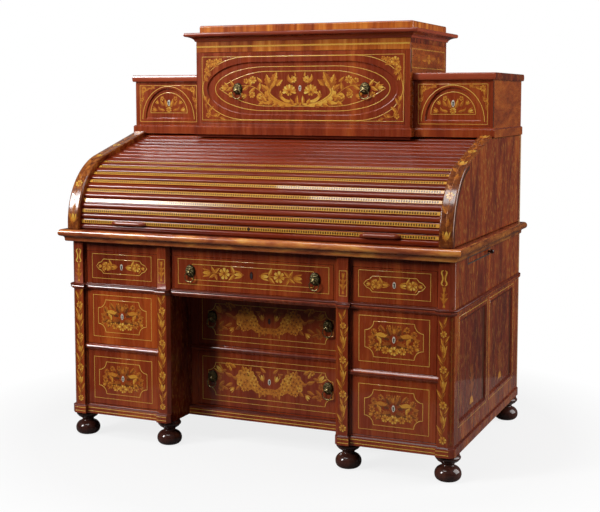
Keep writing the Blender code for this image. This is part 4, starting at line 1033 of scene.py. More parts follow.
def tulip(size, light, dark):
    middle = [(0.12, -0.10), (0.45, -0.20), (0.78, -0.15), (1.0, 0.0), (0.78, 0.15), (0.45, 0.20), (0.12, 0.10)]
    outer = [(0.0, 0.03), (0.10, 0.20), (0.34, 0.36), (0.68, 0.42), (1.02, 0.44), (0.82, 0.28), (0.50, 0.225),
             (0.16, 0.13)]
    cup = [(-0.14, -0.05), (0.0, -0.12), (0.08, 0.0), (0.0, 0.12), (-0.14, 0.05)]
    shapes = [(middle, [light * (0.7 + 0.3 * u) for u, v in middle])]
    for sign, tone in ((1, dark), (-1, light * 0.88)):
        shapes.append(([(u, sign * v) for u, v in outer], [tone * (0.72 + 0.28 * u) for u, v in outer]))
    return turned(shapes + [(cup, 0.38)], size=size)


def fan(radius, light, blades=9, reach=1.9):
    half = reach / blades
    ring = ((0.18, -0.9), (0.86, -0.9), (1.0, 0), (0.86, 0.9), (0.18, 0.9))
    return [(petal(radius, ring, (2 * k + 1) * half - reach, half), light * (0.75 if k % 2 else 1.0))
            for k in range(blades)]


def bird(size, light):
    body = [(0.0, 0.0), (0.22, 0.10), (0.42, 0.24), (0.56, 0.30), (0.66, 0.26), (0.78, 0.20), (0.66, 0.17),
            (0.58, 0.06), (0.40, -0.08), (0.18, -0.10)]
    wing = [(0.12, 0.06), (0.30, 0.30), (0.22, 0.52), (0.04, 0.62), (0.10, 0.40), (0.02, 0.22)]
    tail = [(-0.02, 0.02), (-0.22, 0.10), (-0.46, 0.08), (-0.34, 0.0), (-0.46, -0.10), (-0.20, -0.08), (0.10, -0.09)]
    return turned([(body, light), (wing, [light * 1.15] * 3 + [light * 0.7] * 3), (tail, light * 0.75)], size=size)


def ribbon(tone, *points):
    line = smoothLine([(u * mm, v * mm, wide * mm) for u, v, wide in points], 4)  # place and width in mm
    left, right = [], []
    for k, (u, v, wide) in enumerate(line):
        before, after = line[max(k - 1, 0)], line[min(k + 1, len(line) - 1)]
        lean = math.atan2(after[1] - before[1], after[0] - before[0])
        left.append((u - math.sin(lean) * wide / 2, v + math.cos(lean) * wide / 2))
        right.append((u + math.sin(lean) * wide / 2, v - math.cos(lean) * wide / 2))
    return [(left + right[::-1], tone)]


sketches = {
    "leaf": lambda size, light: leaf(size, size * 0.42, 0.22, light, light * 0.66),
    "fern": lambda size, light: acanthus(size, size * 0.66, 0.2, light, light * 0.66),
    "tulip": lambda size, light: tulip(size, light, light * 0.72),
    "bloom": lambda size, light: blossom(size, 5 if size < 0.0104 else 7, light, light * 0.42),
    "fan": fan, "bird": bird,
}


def laidOut(*parts):
    shapes = []  # kind, place in mm, turn, size in mm, tone
    for kind, u, v, angle, size, light in parts:
        shapes += turned(sketches[kind](size * mm, light), (u * mm, v * mm), angle)
    return shapes


def scoopedPanel(halfU, halfV, scoop, steps=6):
    line = []
    for number, (u, v) in enumerate(((halfU, halfV), (-halfU, halfV), (-halfU, -halfV), (halfU, -halfV))):
        turns = [math.pi + quarter * (number + k / steps) for k in range(steps, -1, -1)]
        line += [(u + scoop * math.cos(t), v + scoop * math.sin(t)) for t in turns]
    return line


def pointedPanel(halfU, halfV, reach):
    end = [(halfU - reach, halfV), (halfU - reach * 0.72, halfV * 0.62), (halfU - reach * 0.30, halfV * 0.42),
           (halfU, 0.0)]
    right = end + [(u, -v) for u, v in end[-2::-1]]
    return right + [(-u, v) for u, v in right[::-1]]


def rectangleLine(halfU, halfV, midU=0.0, midV=0.0):
    return corners(midU - halfU, midU + halfU, midV - halfV, midV + halfV)


# Pedestal frieze drawers: pointed panel with a spray on either side of the keyhole
friezeRise = 0.005
spray = ribbon(0.7, (16, 0, 1.8), (45, 3, 1.6), (90, 0, 1)) + laidOut(
    ("tulip", 18, 0, 0, 24, 0.92), ("leaf", 41, 2, 0.9, 26, 0.88), ("leaf", 41, 1, -0.9, 26, 0.82),
    ("leaf", 82, 4, 2.3, 20, 0.84), ("leaf", 82, -4, -2.3, 20, 0.8), ("bloom", 64, 1, 0.2, 15.5, 0.94),
    ("tulip", 82, 0, 0, 16, 0.88))
for sideName, side in sides:
    node = "drawer_" + sideName + "_frieze"
    face = frontOf(node)[0]
    stringLine(node, face, rectangleLine(0.125, 0.045, 0.0, friezeRise))
    stringLine(node, face, raised(pointedPanel(0.107, 0.0265, 0.030), friezeRise))
    lay(node, face, turned(mirrored(spray), (0.0, friezeRise)))
    keyPlate(node, face, (0.0, friezeRise))

# Middle and lower pedestal drawers: scooped panel with birds over a bouquet
bouquet = ribbon(0.46, (4, -20, 2.2), (30, -10, 2), (56, 4, 1.6), (80, 16, 1))
bouquet += ribbon(0.46, (10, -4, 2), (22, 14, 1.6), (22, 34, 1)) + laidOut(
    ("fern", 8, -14, -0.35, 40, 0.5), ("fern", 36, -20, -0.15, 38, 0.48), ("fern", 14, 4, 0.35, 36, 0.46),
    ("fern", 40, 4, 0.15, 36, 0.5), ("fern", 10, 16, 1, 34, 0.5), ("leaf", 30, 26, 0.7, 30, 0.54),
    ("leaf", 60, 10, 0.8, 30, 0.52), ("leaf", 62, -10, -0.7, 30, 0.52), ("leaf", 24, -24, -1.1, 28, 0.55),
    ("leaf", 46, -26, -0.9, 26, 0.5), ("leaf", 72, 0, 0.1, 20, 0.58), ("leaf", 4, 30, 1.3, 22, 0.5),
    ("bird", 66, 12, 2.75, 56, 0.6), ("bloom", 30, -34, 0.3, 13.5, 0.72), ("bloom", 56, -26, 0.1, 13, 0.64),
    ("bloom", 77, -6, 0.5, 11, 0.6), ("bloom", 70, 24, 0.2, 11.5, 0.58), ("bloom", 46, 38, 0.4, 10.5, 0.56),
    ("bloom", 18, 42, 0.2, 9.5, 0.58), ("tulip", 10, -26, -0.9, 18, 0.76), ("tulip", 72, -20, -0.4, 18, 0.66))
bouquet = mirrored(bouquet) + turned(blossom(0.0155, 7, 0.78, 0.3), (0.0, -0.036))
bouquet += turned(tulip(0.020, 0.7, 0.5), (0.0, 0.020), quarter)
for sideName, side in sides:
    for row, rise in (("lower", 0.0), ("middle", 0.006)):
        node = "drawer_" + sideName + "_" + row
        face = frontOf(node)[0]
        stringLine(node, face, rectangleLine(0.123, 0.0775, 0.0, rise))
        stringLine(node, face, raised(scoopedPanel(0.102, 0.060, 0.031), rise))
        if row == "middle":
            lay(node, face, turned(livened(bouquet, 1.6, 0.10), (0.0, rise)))
        else:
            lay(node, face, turned(livened(bouquet, 1.5, 0.08), (0.0, -0.001), 0.0, 0.98, True))
        keyPlate(node, face, (0.0, rise + 0.002))

# Centre frieze drawer: two sprays between the pulls
longSpray = ribbon(0.7, (40, 0, 2.2), (120, 2, 2), (200, 0, 1.4)) + laidOut(
    ("tulip", 36, 0, 0, 34, 0.95), ("leaf", 70, 2, 0.95, 33, 0.92), ("leaf", 70, -1, -0.95, 33, 0.88),
    ("leaf", 154, 1, 2.2, 30, 0.9), ("leaf", 154, 0, -2.2, 30, 0.86), ("leaf", 152, 2, 0.8, 28, 0.92),
    ("leaf", 152, -2, -0.8, 28, 0.86), ("bloom", 112, 1, 0.2, 22.5, 0.95), ("tulip", 168, 0, 0, 36, 0.94))
node = "drawer_centre_frieze"
face = frontOf(node)[0]
stringLine(node, face, rectangleLine(0.290, 0.045, 0.0, friezeRise))
stringLine(node, face, raised(scoopedPanel(0.245, 0.0275, 0.012), friezeRise))
lay(node, face, turned(mirrored(longSpray), (0.0, friezeRise), 0.0, 0.94))
keyPlate(node, face, (0.0, friezeRise), "dark", 1.25)

# Kneehole drawers: a heavy leaf garland with flowers outside it
heartU, heartV = 0.093, 0.005
scallops = [(1 + 0.07 * math.sin(9 * t), t) for t in turnsOf(72)]
garland = ribbon(0.60, (0, -32, 20), (28, -34, 24), (52, -22, 32), (72, -4, 50), (90, 6, 60))
garland += [([(heartU + 0.041 * r * math.cos(t), heartV + 0.038 * r * math.sin(t)) for r, t in scallops], 0.62)]
for row in range(6):
    for column in range(6):
        u = 0.056 + 0.0150 * column + 0.0075 * (row % 2) + 0.0028 * math.sin(31 * row + 17 * column)
        v = -0.030 + 0.0135 * row + 0.0028 * math.sin(13 * row + 41 * column)
        if ((u - heartU) / 0.040) ** 2 + ((v - heartV) / 0.037) ** 2 < 1.05:
            radius = 0.0096 + 0.0018 * math.sin(19 * row + 3 * column)
            light = 0.76 + 0.12 * math.sin(7 * row + 5 * column)
            garland += turned(blossom(radius, 6, light, 0.12), (u, v), row * 0.7 + column * 0.4)
for u, v in ((0.012, -0.029), (0.027, -0.033), (0.040, -0.025), (0.034, -0.041), (0.050, -0.034), (0.052, -0.016)):
    garland += turned(blossom(0.0088, 6, 0.76 + 0.08 * math.sin(900 * u), 0.14), (u, v), 300 * u)
foliage = laidOut(
    ("fern", 36, -40, -1.5, 20, 0.6), ("fern", 14, -40, -1.3, 16, 0.56), ("fern", 118, -22, -0.9, 24, 0.58),
    ("fern", 128, 4, 0.1, 22, 0.62), ("fern", 78, 36, 1.7, 20, 0.6), ("fern", 104, 36, 1.2, 20, 0.58),
    ("bloom", 16, -33, 0.2, 7.8, 0.46), ("tulip", 24, 4, 1.2, 24, 0.86), ("leaf", 14, 36, 0.5, 28, 0.66),
    ("leaf", 46, 20, 1.9, 22, 0.5), ("leaf", 36, 34, -0.1, 20, 0.46), ("leaf", 134, 44, 0.35, 32, 0.58),
    ("leaf", 152, 30, 0.9, 26, 0.7), ("leaf", 146, 12, 0.1, 34, 0.56), ("leaf", 172, 34, -0.5, 28, 0.52),
    ("leaf", 148, -14, -0.6, 32, 0.58), ("leaf", 182, -8, -0.9, 30, 0.54), ("leaf", 166, -40, 0.3, 26, 0.5),
    ("tulip", 190, 22, 0.75, 34, 0.72), ("tulip", 142, -30, -0.7, 22, 0.8), ("bloom", 196, -36, 0.1, 12.5, 0.46),
    ("bloom", 168, 52, 0.4, 10, 0.62), ("bloom", 204, 4, 0.3, 11.5, 0.44))
# gain and shift for the garland's heart and its foliage, and the keyhole plate; the upper drawer's inlay is toned
# lower, more orange as a colour and darker as painted shade under the frieze
kneeholeTonesAndShade = {"lower": ((1.2, -0.03), (1.2, 0.15), "bone"), "upper": ((1.3, -0.09), (1.1, 0.05), "dark")}
for row, (heartTone, outerTone, plate) in kneeholeTonesAndShade.items():
    node = "drawer_kneehole_" + row
    face, halfU, halfV = frontOf(node)
    stringLine(node, face, rectangleLine(0.272, halfV - 0.018))
    stringLine(node, face, scoopedPanel(0.248, halfV - 0.038, 0.030))
    lay(node, face, turned(mirrored(livened(garland, *heartTone) + livened(foliage, *outerTone)), (0.0, 0.004)))
    keyPlate(node, face, (0.0, 0.007), plate)

# Upper centre: frame string, ovals, corner sprays, paired scrolls and sprigs
node = "drawer_upper_centre"
face, halfU, halfV = frontOf(node)
floorFace = frontOf(node, drawerLook["sunk"])[0]
drop = sunkShapes[node]["low"] - face(0, 0).z
stringLine(node, face, rectangleLine(halfU - 0.004, 0.1213, 0.0, -0.0028))
stringLine(node, face, longOval(-0.0028, 0.4085, 0.1200, 0.187))
stringLine(node, floorFace, longOval(drop, 0.3567, 0.0833, 0.217))
stringLine(node, floorFace, longOval(drop, 0.3393, 0.0656, 0.205, True))
corner = ribbon(0.6, (392, 40, 1), (386, 78, 3), (366, 98, 3), (330, 104, 1)) + laidOut(
    ("fern", 384, 90, 2.7, 40, 0.7), ("fern", 388, 90, -1.75, 40, 0.66), ("fern", 372, 96, 3.4, 36, 0.66),
    ("fern", 390, 74, -2.1, 34, 0.7), ("leaf", 352, 102, 2.9, 26, 0.72), ("leaf", 394, 56, -1.4, 26, 0.66),
    ("leaf", 362, 98, 3.9, 22, 0.62), ("leaf", 388, 62, -2.6, 22, 0.62), ("bloom", 378, 94, 0.2, 17.5, 0.8),
    ("bloom", 350, 100, 0.4, 12, 0.76), ("bloom", 391, 66, 0.1, 11.5, 0.76), ("bloom", 332, 105, 0.3, 8.5, 0.72),
    ("tulip", 394, 44, -1.55, 20, 0.7))
lowCorner = ribbon(0.62, (396, -52, 1), (388, -90, 2), (366, -108, 2), (318, -115, 1)) + laidOut(
    ("leaf", 394, -66, 1.9, 30, 0.74), ("leaf", 390, -80, 0.9, 22, 0.66), ("leaf", 386, -92, 2.2, 32, 0.72),
    ("leaf", 374, -103, 0.9, 22, 0.7), ("leaf", 364, -108, 2.7, 30, 0.72), ("leaf", 348, -111, 2.2, 22, 0.66),
    ("leaf", 336, -113, 3.3, 26, 0.7), ("bloom", 386, -106, 0.3, 10, 0.76), ("tulip", 397, -50, 1.5, 18, 0.72))
for shapes in (corner, lowCorner):
    lay(node, face, mirrored(livened(shapes, 1.1, 0.05)))
scrolls = ribbon(0.66, (10, -56, 6), (40, -62, 12), (78, -56, 17), (112, -40, 22), (134, -20, 24), (128, 4, 22),
                 (112, 22, 24), (108, 42, 10))
scrolls += ribbon(0.64, (104, -44, 12), (132, -52, 14), (160, -48, 13), (176, -32, 10), (166, -19, 8), (154, -25, 4))
scrolls += ribbon(0.70, (30, -46, 6), (56, -46, 12), (78, -30, 10), (80, -8, 5)) + laidOut(
    ("fern", 126, 10, 1.1, 46, 0.8), ("fern", 112, 20, 1.75, 46, 0.76), ("fern", 100, 12, 2.3, 36, 0.8),
    ("fern", 134, -6, 0.5, 36, 0.74), ("fern", 128, 0, 2, 40, 0.72), ("fern", 130, -28, -0.3, 36, 0.78),
    ("fern", 112, -44, -0.9, 26, 0.74), ("fern", 90, -56, -0.5, 28, 0.78), ("fern", 60, -62, -0.3, 26, 0.74),
    ("fern", 140, -50, 0.8, 26, 0.76), ("fern", 156, -44, 0.3, 28, 0.74), ("fern", 150, -54, -0.4, 24, 0.76),
    ("fern", 28, -60, 0.9, 26, 0.78), ("fern", 84, -34, 1.9, 26, 0.74), ("leaf", 12, -58, 1.4, 32, 0.8),
    ("leaf", 6, -64, 2.2, 20, 0.7), ("fan", 44, -12, 1.6, 29, 0.8), ("bloom", 44, -12, 0.1, 15, 0.72),
    ("bloom", 168, -29, 0.1, 9, 0.84), ("tulip", 30, 22, 1.9, 26, 0.84), ("bloom", 26, 34, 0.3, 12, 0.86),
    ("leaf", 34, 20, 0.9, 30, 0.76), ("leaf", 18, 44, 1.2, 18, 0.78), ("leaf", 46, 26, 1.3, 28, 0.72))
scrolls += ribbon(0.26, (116, 34, 0.4), (124, 10, 1.6), (128, -18, 1.4), (106, -38, 1.2), (70, -54, 0.4))
scrolls += ribbon(0.26, (120, -40, 0.4), (146, -48, 1.6), (166, -38, 1.4))
scrolls += ribbon(0.26, (98, 14, 0.4), (112, 4, 1.6), (120, -10, 1.4))
sprig = ribbon(0.66, (150, -22, 2.4), (190, 6, 2), (240, 12, 1.8), (324, 2, 1)) + laidOut(
    ("leaf", 170, -8, 1.5, 32, 0.78), ("leaf", 186, 4, -0.8, 32, 0.76), ("leaf", 204, 10, 1.1, 30, 0.8),
    ("leaf", 214, 10, -0.7, 32, 0.76), ("leaf", 276, 10, 0.7, 30, 0.8), ("leaf", 284, 6, -0.7, 30, 0.76),
    ("leaf", 300, 6, 0.6, 26, 0.78), ("leaf", 156, 24, 0.5, 30, 0.76), ("leaf", 226, 18, 2, 26, 0.74),
    ("leaf", 178, 30, -0.2, 24, 0.74), ("leaf", 188, -30, 0.3, 26, 0.74), ("leaf", 230, -26, 0.2, 26, 0.72),
    ("bloom", 196, 34, 0.2, 14.5, 0.84), ("bloom", 200, -22, 0.3, 13.5, 0.82), ("tulip", 306, 4, 0, 26, 0.82),
    ("bloom", 290, -22, 0.3, 11, 0.8), ("bloom", 226, 30, 0.1, 10, 0.78), ("tulip", 222, -24, -0.3, 22, 0.78))
lay(node, floorFace, mirrored(turned(livened(scrolls + sprig, 1.2, 0.08), (0.0, drop))))
keyPlate(node, floorFace, (0.0, drop + 0.002))

# Side cabinets: frame string, arch strings, spandrel sprigs and a flower group
spandrel = ribbon(0.6, (123, -20, 1), (118, 22, 1.8), (108, 50, 2), (72, 66, 1)) + laidOut(
    ("leaf", 116, 30, 1.3, 30, 0.72), ("leaf", 108, 48, 0.8, 22, 0.7), ("leaf", 104, 52, 2.5, 28, 0.7),
    ("leaf", 118, 20, -1.2, 26, 0.68), ("leaf", 121, 0, -1.5, 26, 0.7), ("leaf", 120, 10, 1.9, 22, 0.66),
    ("leaf", 86, 61, 2.9, 26, 0.68), ("bloom", 110, 56, 0.2, 11.5, 0.78), ("tulip", 78, 64, 3, 18, 0.72),
    ("bloom", 119, 16, 0.1, 8, 0.74))
flowers = mirrored(laidOut(
    ("leaf", 9, 46, 1.1, 36, 0.84), ("leaf", 24, 52, 0.8, 28, 0.76), ("leaf", 18, 33, 0.15, 26, 0.78),
    ("leaf", 38, 33, 0.85, 20, 0.7), ("tulip", 46, 60, 0.8, 18, 0.88), ("tulip", 54, 35, 0.3, 21, 0.9),
    ("bloom", 30, 82, 0.2, 8.8, 0.82))) + turned(blossom(0.0120, 8, 1.0, 0.6), (0.0, 0.038))
for sideName, side in sides:
    node = "drawer_upper_" + sideName
    face, halfU, halfV = frontOf(node)
    floorFace = frontOf(node, drawerLook["sunk"])[0]
    halfX, high, low = sunkShapes[node]["halfX"], sunkShapes[node]["high"], sunkShapes[node]["low"] - face(0, 0).z
    stringLine(node, face, rectangleLine(halfU - 0.007, halfV - 0.007))
    stringLine(node, floorFace, ovalLine(0.0, low + 0.025, halfX - 0.021, high - 0.042, 0.0, math.pi, 40))
    stringLine(node, face, ovalLine(0.0, low, halfX + 0.013, high + 0.0075, 0.0, math.pi, 48), False)
    lay(node, face, mirrored(spandrel))
    lay(node, floorFace, turned(flowers, (0.0, low)))
    keyPlate(node, floorFace, (0.0, low + 0.064), "bone", 1.1)

# Plinths: two strings round the front, and the architrave with its light line
plinthLook = {"lines": (0.098, 0.111), "proud": 0.006, "chestProud": 0.022}
plinthFace, plinthBay = frontFace(frontY - plinthLook["proud"]), frontFace(bayY - plinthLook["proud"])
plinthRuns = ((plinthFace, innerX + 0.014, bayInX + 0.005), (plinthFace, bayOutX - 0.005, outerX - 0.012),
              (plinthBay, bayInX + 0.007, bayOutX - 0.007))
chestFoot = frontFace(chestY - plinthLook["chestProud"])
for z in plinthLook["lines"]:
    for sideName, side in sides:
        for face, x0, x1 in plinthRuns:
            stringLine("carcase", face, [(side * x0, z), (side * x1, z)], False)
    stringLine("carcase", chestFoot, [(-innerX + 0.002, z), (innerX - 0.002, z)], False)
architraveLook = {"inset": 0.0008, "low": 1.4362, "proud": 0.0003, "sink": 0.001, "line": (1.4542, 1.4602),
                  "lineInset": 0.002}
halfX, lineX = centreX - architraveLook["inset"], centreX - architraveLook["lineInset"]
work = bmesh.new()
addBlock(work, -halfX, halfX, centreY - architraveLook["proud"], centreY + architraveLook["sink"],
         architraveLook["low"], flushZ)
addPiece("architrave_veneer", meshFrom("architrave", work), "carcase", ["goldenCross"])
lay("carcase", frontFace(centreY), [(corners(-lineX, lineX, *architraveLook["line"]), 0.84)], 0.0004)

# Pilasters: a lyre over a vase outside, a framed vase inside
pilasterLook = {"inner": 0.3488, "outer": 0.6985, "innerZ": 0.6425, "lyreZ": 0.6780, "vaseZ": 0.6190,
                "slim": (0.62, 0.94)}
pilasterFace = frontFace(frontY)
vase = turned(acanthus(0.062, 0.020, 0.0, 0.74, 0.56), (0.0, -0.030), quarter)
vase += mirrored(turned(leaf(0.032, 0.0095, -0.35, 0.72, 0.5), (0.001, -0.024), 1.10)
                 + turned(leaf(0.026, 0.008, -0.3, 0.62, 0.46), (0.001, -0.002), 1.0))
vase += turned(tulip(0.022, 0.86, 0.6), (0.0, 0.017), quarter)
vase += [([(-0.0075, -0.038), (0.0075, -0.038), (0.0045, -0.028), (-0.0045, -0.028)], 0.66)]
slimU, slimV = pilasterLook["slim"]
slimVase = [([(u * slimU, v * slimV) for u, v in outline], tone) for outline, tone in vase]
lyre = mirrored(ribbon(0.84, (3, 34, 2), (10.5, 27, 6.2), (6.5, 11, 5.2), (5.5, -3, 5), (11, -18, 6.2), (3, -26, 2)))
lyre += turned(leaf(0.030, 0.0056, 0.0, 0.62, 0.46), (0.0, -0.012), quarter)

# Sides: sunk panels with a moulding that is dark all round and a dark slip at each rear edge, both painted shade of the
# deep reveal; dark slips of painted shade along the joints; the frame of the upper centre; and a dark band of painted
# shadow inside the rail
panelLook = {
    "first": 0.250, "step": 0.400, "middle": 0.3605, "string": (0.184, 0.1855), "sunk": 0.005, "half": (0.1718, 0.1733),
    "moulding": ((0.0, -0.0004), (0.0, 0.0046), (0.0022, 0.0046), (0.0045, 0.0028), (0.0085, 0.0012),
                 (0.0085, -0.0004)),
    "vase": (0.290, 1.6, 0.30), "foot": ((-0.024, 0.214), (0.024, 0.214), (0.012, 0.238), (-0.012, 0.238)),
    "rearShade": (0.141, 0.163, 0.196, 0.525),
}
stageFrame = {
    "midU": 0.215, "midV": 1.404, "half": (0.205, 0.034), "leaf": 0.024,
    "blossoms": ((0.0, 0.0190, 0.80), (-0.125, 0.0125, 0.62), (0.125, 0.0125, 0.62)),
}
railShadow = {"reach": (0.0065, 0.0190), "steps": 30, "foot": 0.001, "tone": 0.02}
# dark slips just behind the front corner of each side cabinet and of the raised centre: painted shade along the joints
jointPaintedShade = ((outerX, box("drawer_upper_right")[2], 1.156, 1.3225), (centreX, centreY, 1.353, 1.434))
for sideName, side in sides:
    inner, outer = side * pilasterLook["inner"], side * pilasterLook["outer"]
    stringLine("carcase", pilasterFace, rectangleLine(0.0135, 0.0425, inner, pilasterLook["innerZ"]))
    lay("carcase", pilasterFace, turned(slimVase, (inner, pilasterLook["innerZ"])))
    lay("carcase", pilasterFace, turned(lyre, (outer, pilasterLook["lyreZ"]), 0.0, 0.84))
    lay("carcase", pilasterFace, turned(slimVase, (outer, pilasterLook["vaseZ"]), 0.0, 0.94))
    panelX = outerX - panelLook["sunk"]
    panelFace = sideFace(side, panelX)
    for number in (1, 2):
        middle = frontY + panelLook["first"] + panelLook["step"] * (number - 1)
        stringLine("carcase", sideFace(side, outerX),
                   sided(side, rectangleLine(*panelLook["string"], middle, panelLook["middle"])))
        vaseZ, vaseSize, vaseTone = panelLook["vase"]
        lay("carcase", panelFace,
            [(line, vaseTone) for line, tone in turned(vase, (side * middle, vaseZ), 0.0, vaseSize)])
        # a light patch under the vase, and a dark slip along the panel's rear edge: painted shade of the reveal
        for line, tone in ((panelLook["foot"], 0.66), (corners(*panelLook["rearShade"]), 0.0)):
            lay("carcase", panelFace, [(sided(side, [(middle + u, v) for u, v in line]), tone)])
        rings = []
        for inset, up in panelLook["moulding"]:
            halfU, halfV = [half - inset for half in panelLook["half"]]
            line = rectangleLine(halfU, halfV, middle, panelLook["middle"])
            rings.append([(side * (panelX + up), y, z) for y, z in line])
        work = bmesh.new()
        bridge(work, vertRows(work, rings), True)
        mesh = meshFrom("moulding", work)
        # the moulding is dark all round: painted shade of the deep reveal
        addPiece("panel_moulding_%s_%d" % (sideName, number), mesh, "carcase", ["darkLong"])
    for x, y, z0, z1 in jointPaintedShade:
        lay("carcase", sideFace(side, x), [(sided(side, corners(y + 0.001, y + 0.012, z0, z1)), 0.0)])
    stageSide = sideFace(side, centreX)
    midU, midV = stageFrame["midU"], stageFrame["midV"]
    stringLine("carcase", stageSide, sided(side, rectangleLine(*stageFrame["half"], midU, midV)))
    for off, size, light in stageFrame["blossoms"]:
        lay("carcase", stageSide, turned(blossom(size, 8, light, 0.4), (side * (midU + off), midV)))
    for flip in (-1, 1):
        place, angle = (side * (midU + flip * stageFrame["leaf"]), midV), 0.0 if flip * side > 0 else math.pi
        lay("carcase", stageSide, turned(leaf(0.060, 0.018, 0.1, 0.70, 0.46), place, angle))
    # a dark band on the outer side face along the rail's curve: painted shadow
    edges = []
    for inset in railShadow["reach"]:
        reach = sideLook["knuckle"] - inset
        edges.append(sided(side, knuckleLine(reach, railShadow["steps"])
                           + [(knuckleY - reach, railZ0 + railShadow["foot"])]))
    lay("carcase", sideFace(side, outerX), [(edges[0] + edges[1][::-1], railShadow["tone"])])
y, z, lean = trackAt(slatLook["lead"] + slatLook["pitch"] / 2, trackRadius)
leadUp = Vector((0.0, math.cos(lean), math.sin(lean)))
leadOut = Vector((0.0, -math.sin(lean), math.cos(lean)))
leadPlace = Vector((0.0, y, z)) + leadUp * halfSlat * slatLook["dotUp"] + leadOut * stripTop
keyPlate("tambour_lead", flatFace(leadPlace, (1, 0, 0), leadUp, leadOut), (0.0, 0.0), "dark", 0.6)
print("marquetry drawn")


# Slips: every outline becomes a thin closed plate let into its face
def slipMesh(name, jobs):
    points, faces, tones = [], [], []
    for number, (face, outline, tone, lift) in enumerate(jobs):
        lift += inlayLook["layer"] * (number % inlayLook["layers"])
        area = sum(a[0] * b[1] - b[0] * a[1] for a, b in zip(outline, outline[1:] + outline[:1]))
        change = 1.0 + inlayLook["vary"] * math.sin(number * inlayLook["beat"])
        shades = [shade * change for shade in shadesOf(outline, tone)]
        if area < 0:
            outline, shades = outline[::-1], shades[::-1]
        base, count = len(points), len(outline)
        for level in (inlayLook["lift"] + lift, -inlayLook["sink"]):
            points += [face(u, v, level) for u, v in outline]
            tones += shades
        for a, b, c in tessellate_polygon([[Vector((u, v, 0.0)) for u, v in outline]]):
            (ua, va), (ub, vb), (uc, vc) = outline[a], outline[b], outline[c]
            if (ub - ua) * (vc - va) - (uc - ua) * (vb - va) < 0:
                b, c = c, b
            faces.append((base + a, base + b, base + c))
            faces.append((base + count + a, base + count + c, base + count + b))
        for k in range(count):
            j = (k + 1) % count
            faces.append((base + count + k, base + count + j, base + j, base + k))
    mesh = bpy.data.meshes.new(name)
    mesh.from_pydata(points, [], faces)
    mesh.attributes.new("tone", "FLOAT", "POINT").data.foreach_set("value", tones)
    return mesh


# Geometry nodes: stringing as a fine rod let into the face, and leaf trails along a line
def rodAlong(tree, curve, section, tone):
    swept = grow(tree, "CurveToMesh", {"Curve": curve, "Profile Curve": section, "Fill Caps": True})
    toned = {"Geometry": swept, "Name": "tone", "Value": tone}
    return grow(tree, "StoreNamedAttribute", toned, data_type="FLOAT", domain="POINT")


def randomOf(tree, seed, low, high):
    node = addNode(tree, "FunctionNodeRandomValue", {"Seed": seed, 2: low, 3: high}, data_type="FLOAT")
    return node.outputs[1]


stringTree, given, result = newGroup("stringing", radius="Float", tone="Float", inlay="Material")
curve = grow(stringTree, "MeshToCurve", {"Mesh": given["Geometry"]})
out = grow(stringTree, "InputNamedAttribute", {"Name": "out"}, data_type="FLOAT_VECTOR")
curve = grow(stringTree, "SetCurveNormal", {"Curve": curve, "Normal": out}, mode="FREE")
rod = grow(stringTree, "CurvePrimitiveCircle", {"Resolution": 8, "Radius": given["radius"]})
rod = grow(stringTree, "Transform", {"Geometry": rod, "Scale": (0.34, 1.0, 1.0)})
swept = rodAlong(stringTree, curve, rod, given["tone"])
stringTree.links.new(finished(stringTree, swept, given["inlay"]), result[0])

trailTree, given, result = newGroup(
    "leafTrail", leaf="Object", bloom="Object", secondBloom="Object", leafStep="Float", bloomStep="Float", lean="Float",
    across="Vector", stem="Float", seed="Int", inlay="Material")
curve = grow(trailTree, "MeshToCurve", {"Mesh": given["Geometry"]})
joined = addNode(trailTree, "GeometryNodeJoinGeometry")
rod = grow(trailTree, "CurvePrimitiveCircle", {"Resolution": 6, "Radius": given["stem"]})
trailTree.links.new(rodAlong(trailTree, curve, rod, 0.5), joined.inputs[0])
odd = mathOf(trailTree, "MODULO", grow(trailTree, "InputIndex", {}), 2.0)
even = mathOf(trailTree, "SUBTRACT", 1.0, odd)
byTurns = mathOf(trailTree, "MULTIPLY_ADD", odd, -2.0, 1.0)
leafLean = mathOf(trailTree, "MULTIPLY", byTurns, given["lean"])
for shapeName, stepName, chosen in (("leaf", "leafStep", None), ("bloom", "bloomStep", odd),
                                    ("secondBloom", "bloomStep", even)):
    spots = addNode(trailTree, "GeometryNodeCurveToPoints", {"Curve": curve, "Length": given[stepName]},
                    mode="LENGTH").outputs
    out = {0: given["across"], 1: spots["Tangent"]}
    out = addNode(trailTree, "ShaderNodeVectorMath", out, operation="CROSS_PRODUCT").outputs[0]
    axes = {"Primary Axis": out, "Secondary Axis": spots["Tangent"]}
    stand = addNode(trailTree, "FunctionNodeAxesToRotation", axes, primary_axis="Z", secondary_axis="X").outputs[0]
    jitter = randomOf(trailTree, given["seed"], -0.05, 0.05)
    lean = mathOf(trailTree, "ADD", jitter, leafLean if chosen is None else 0.0)
    spin = addNode(trailTree, "FunctionNodeEulerToRotation", {0: vectorOf(trailTree, Z=lean)}).outputs[0]
    laid = addNode(trailTree, "FunctionNodeRotateRotation", {0: stand, 1: spin}, rotation_space="LOCAL").outputs[0]
    placed = {"Points": spots["Points"], "Instance": shapeOf(trailTree, given[shapeName]), "Rotation": laid,
              "Scale": randomOf(trailTree, given["seed"], 0.82, 1.08)}
    if chosen is not None:
        placed["Selection"] = chosen
    trailTree.links.new(grow(trailTree, "InstanceOnPoints", placed), joined.inputs[0])
trailTree.links.new(finished(trailTree, joined.outputs[0], given["inlay"]), result[0])

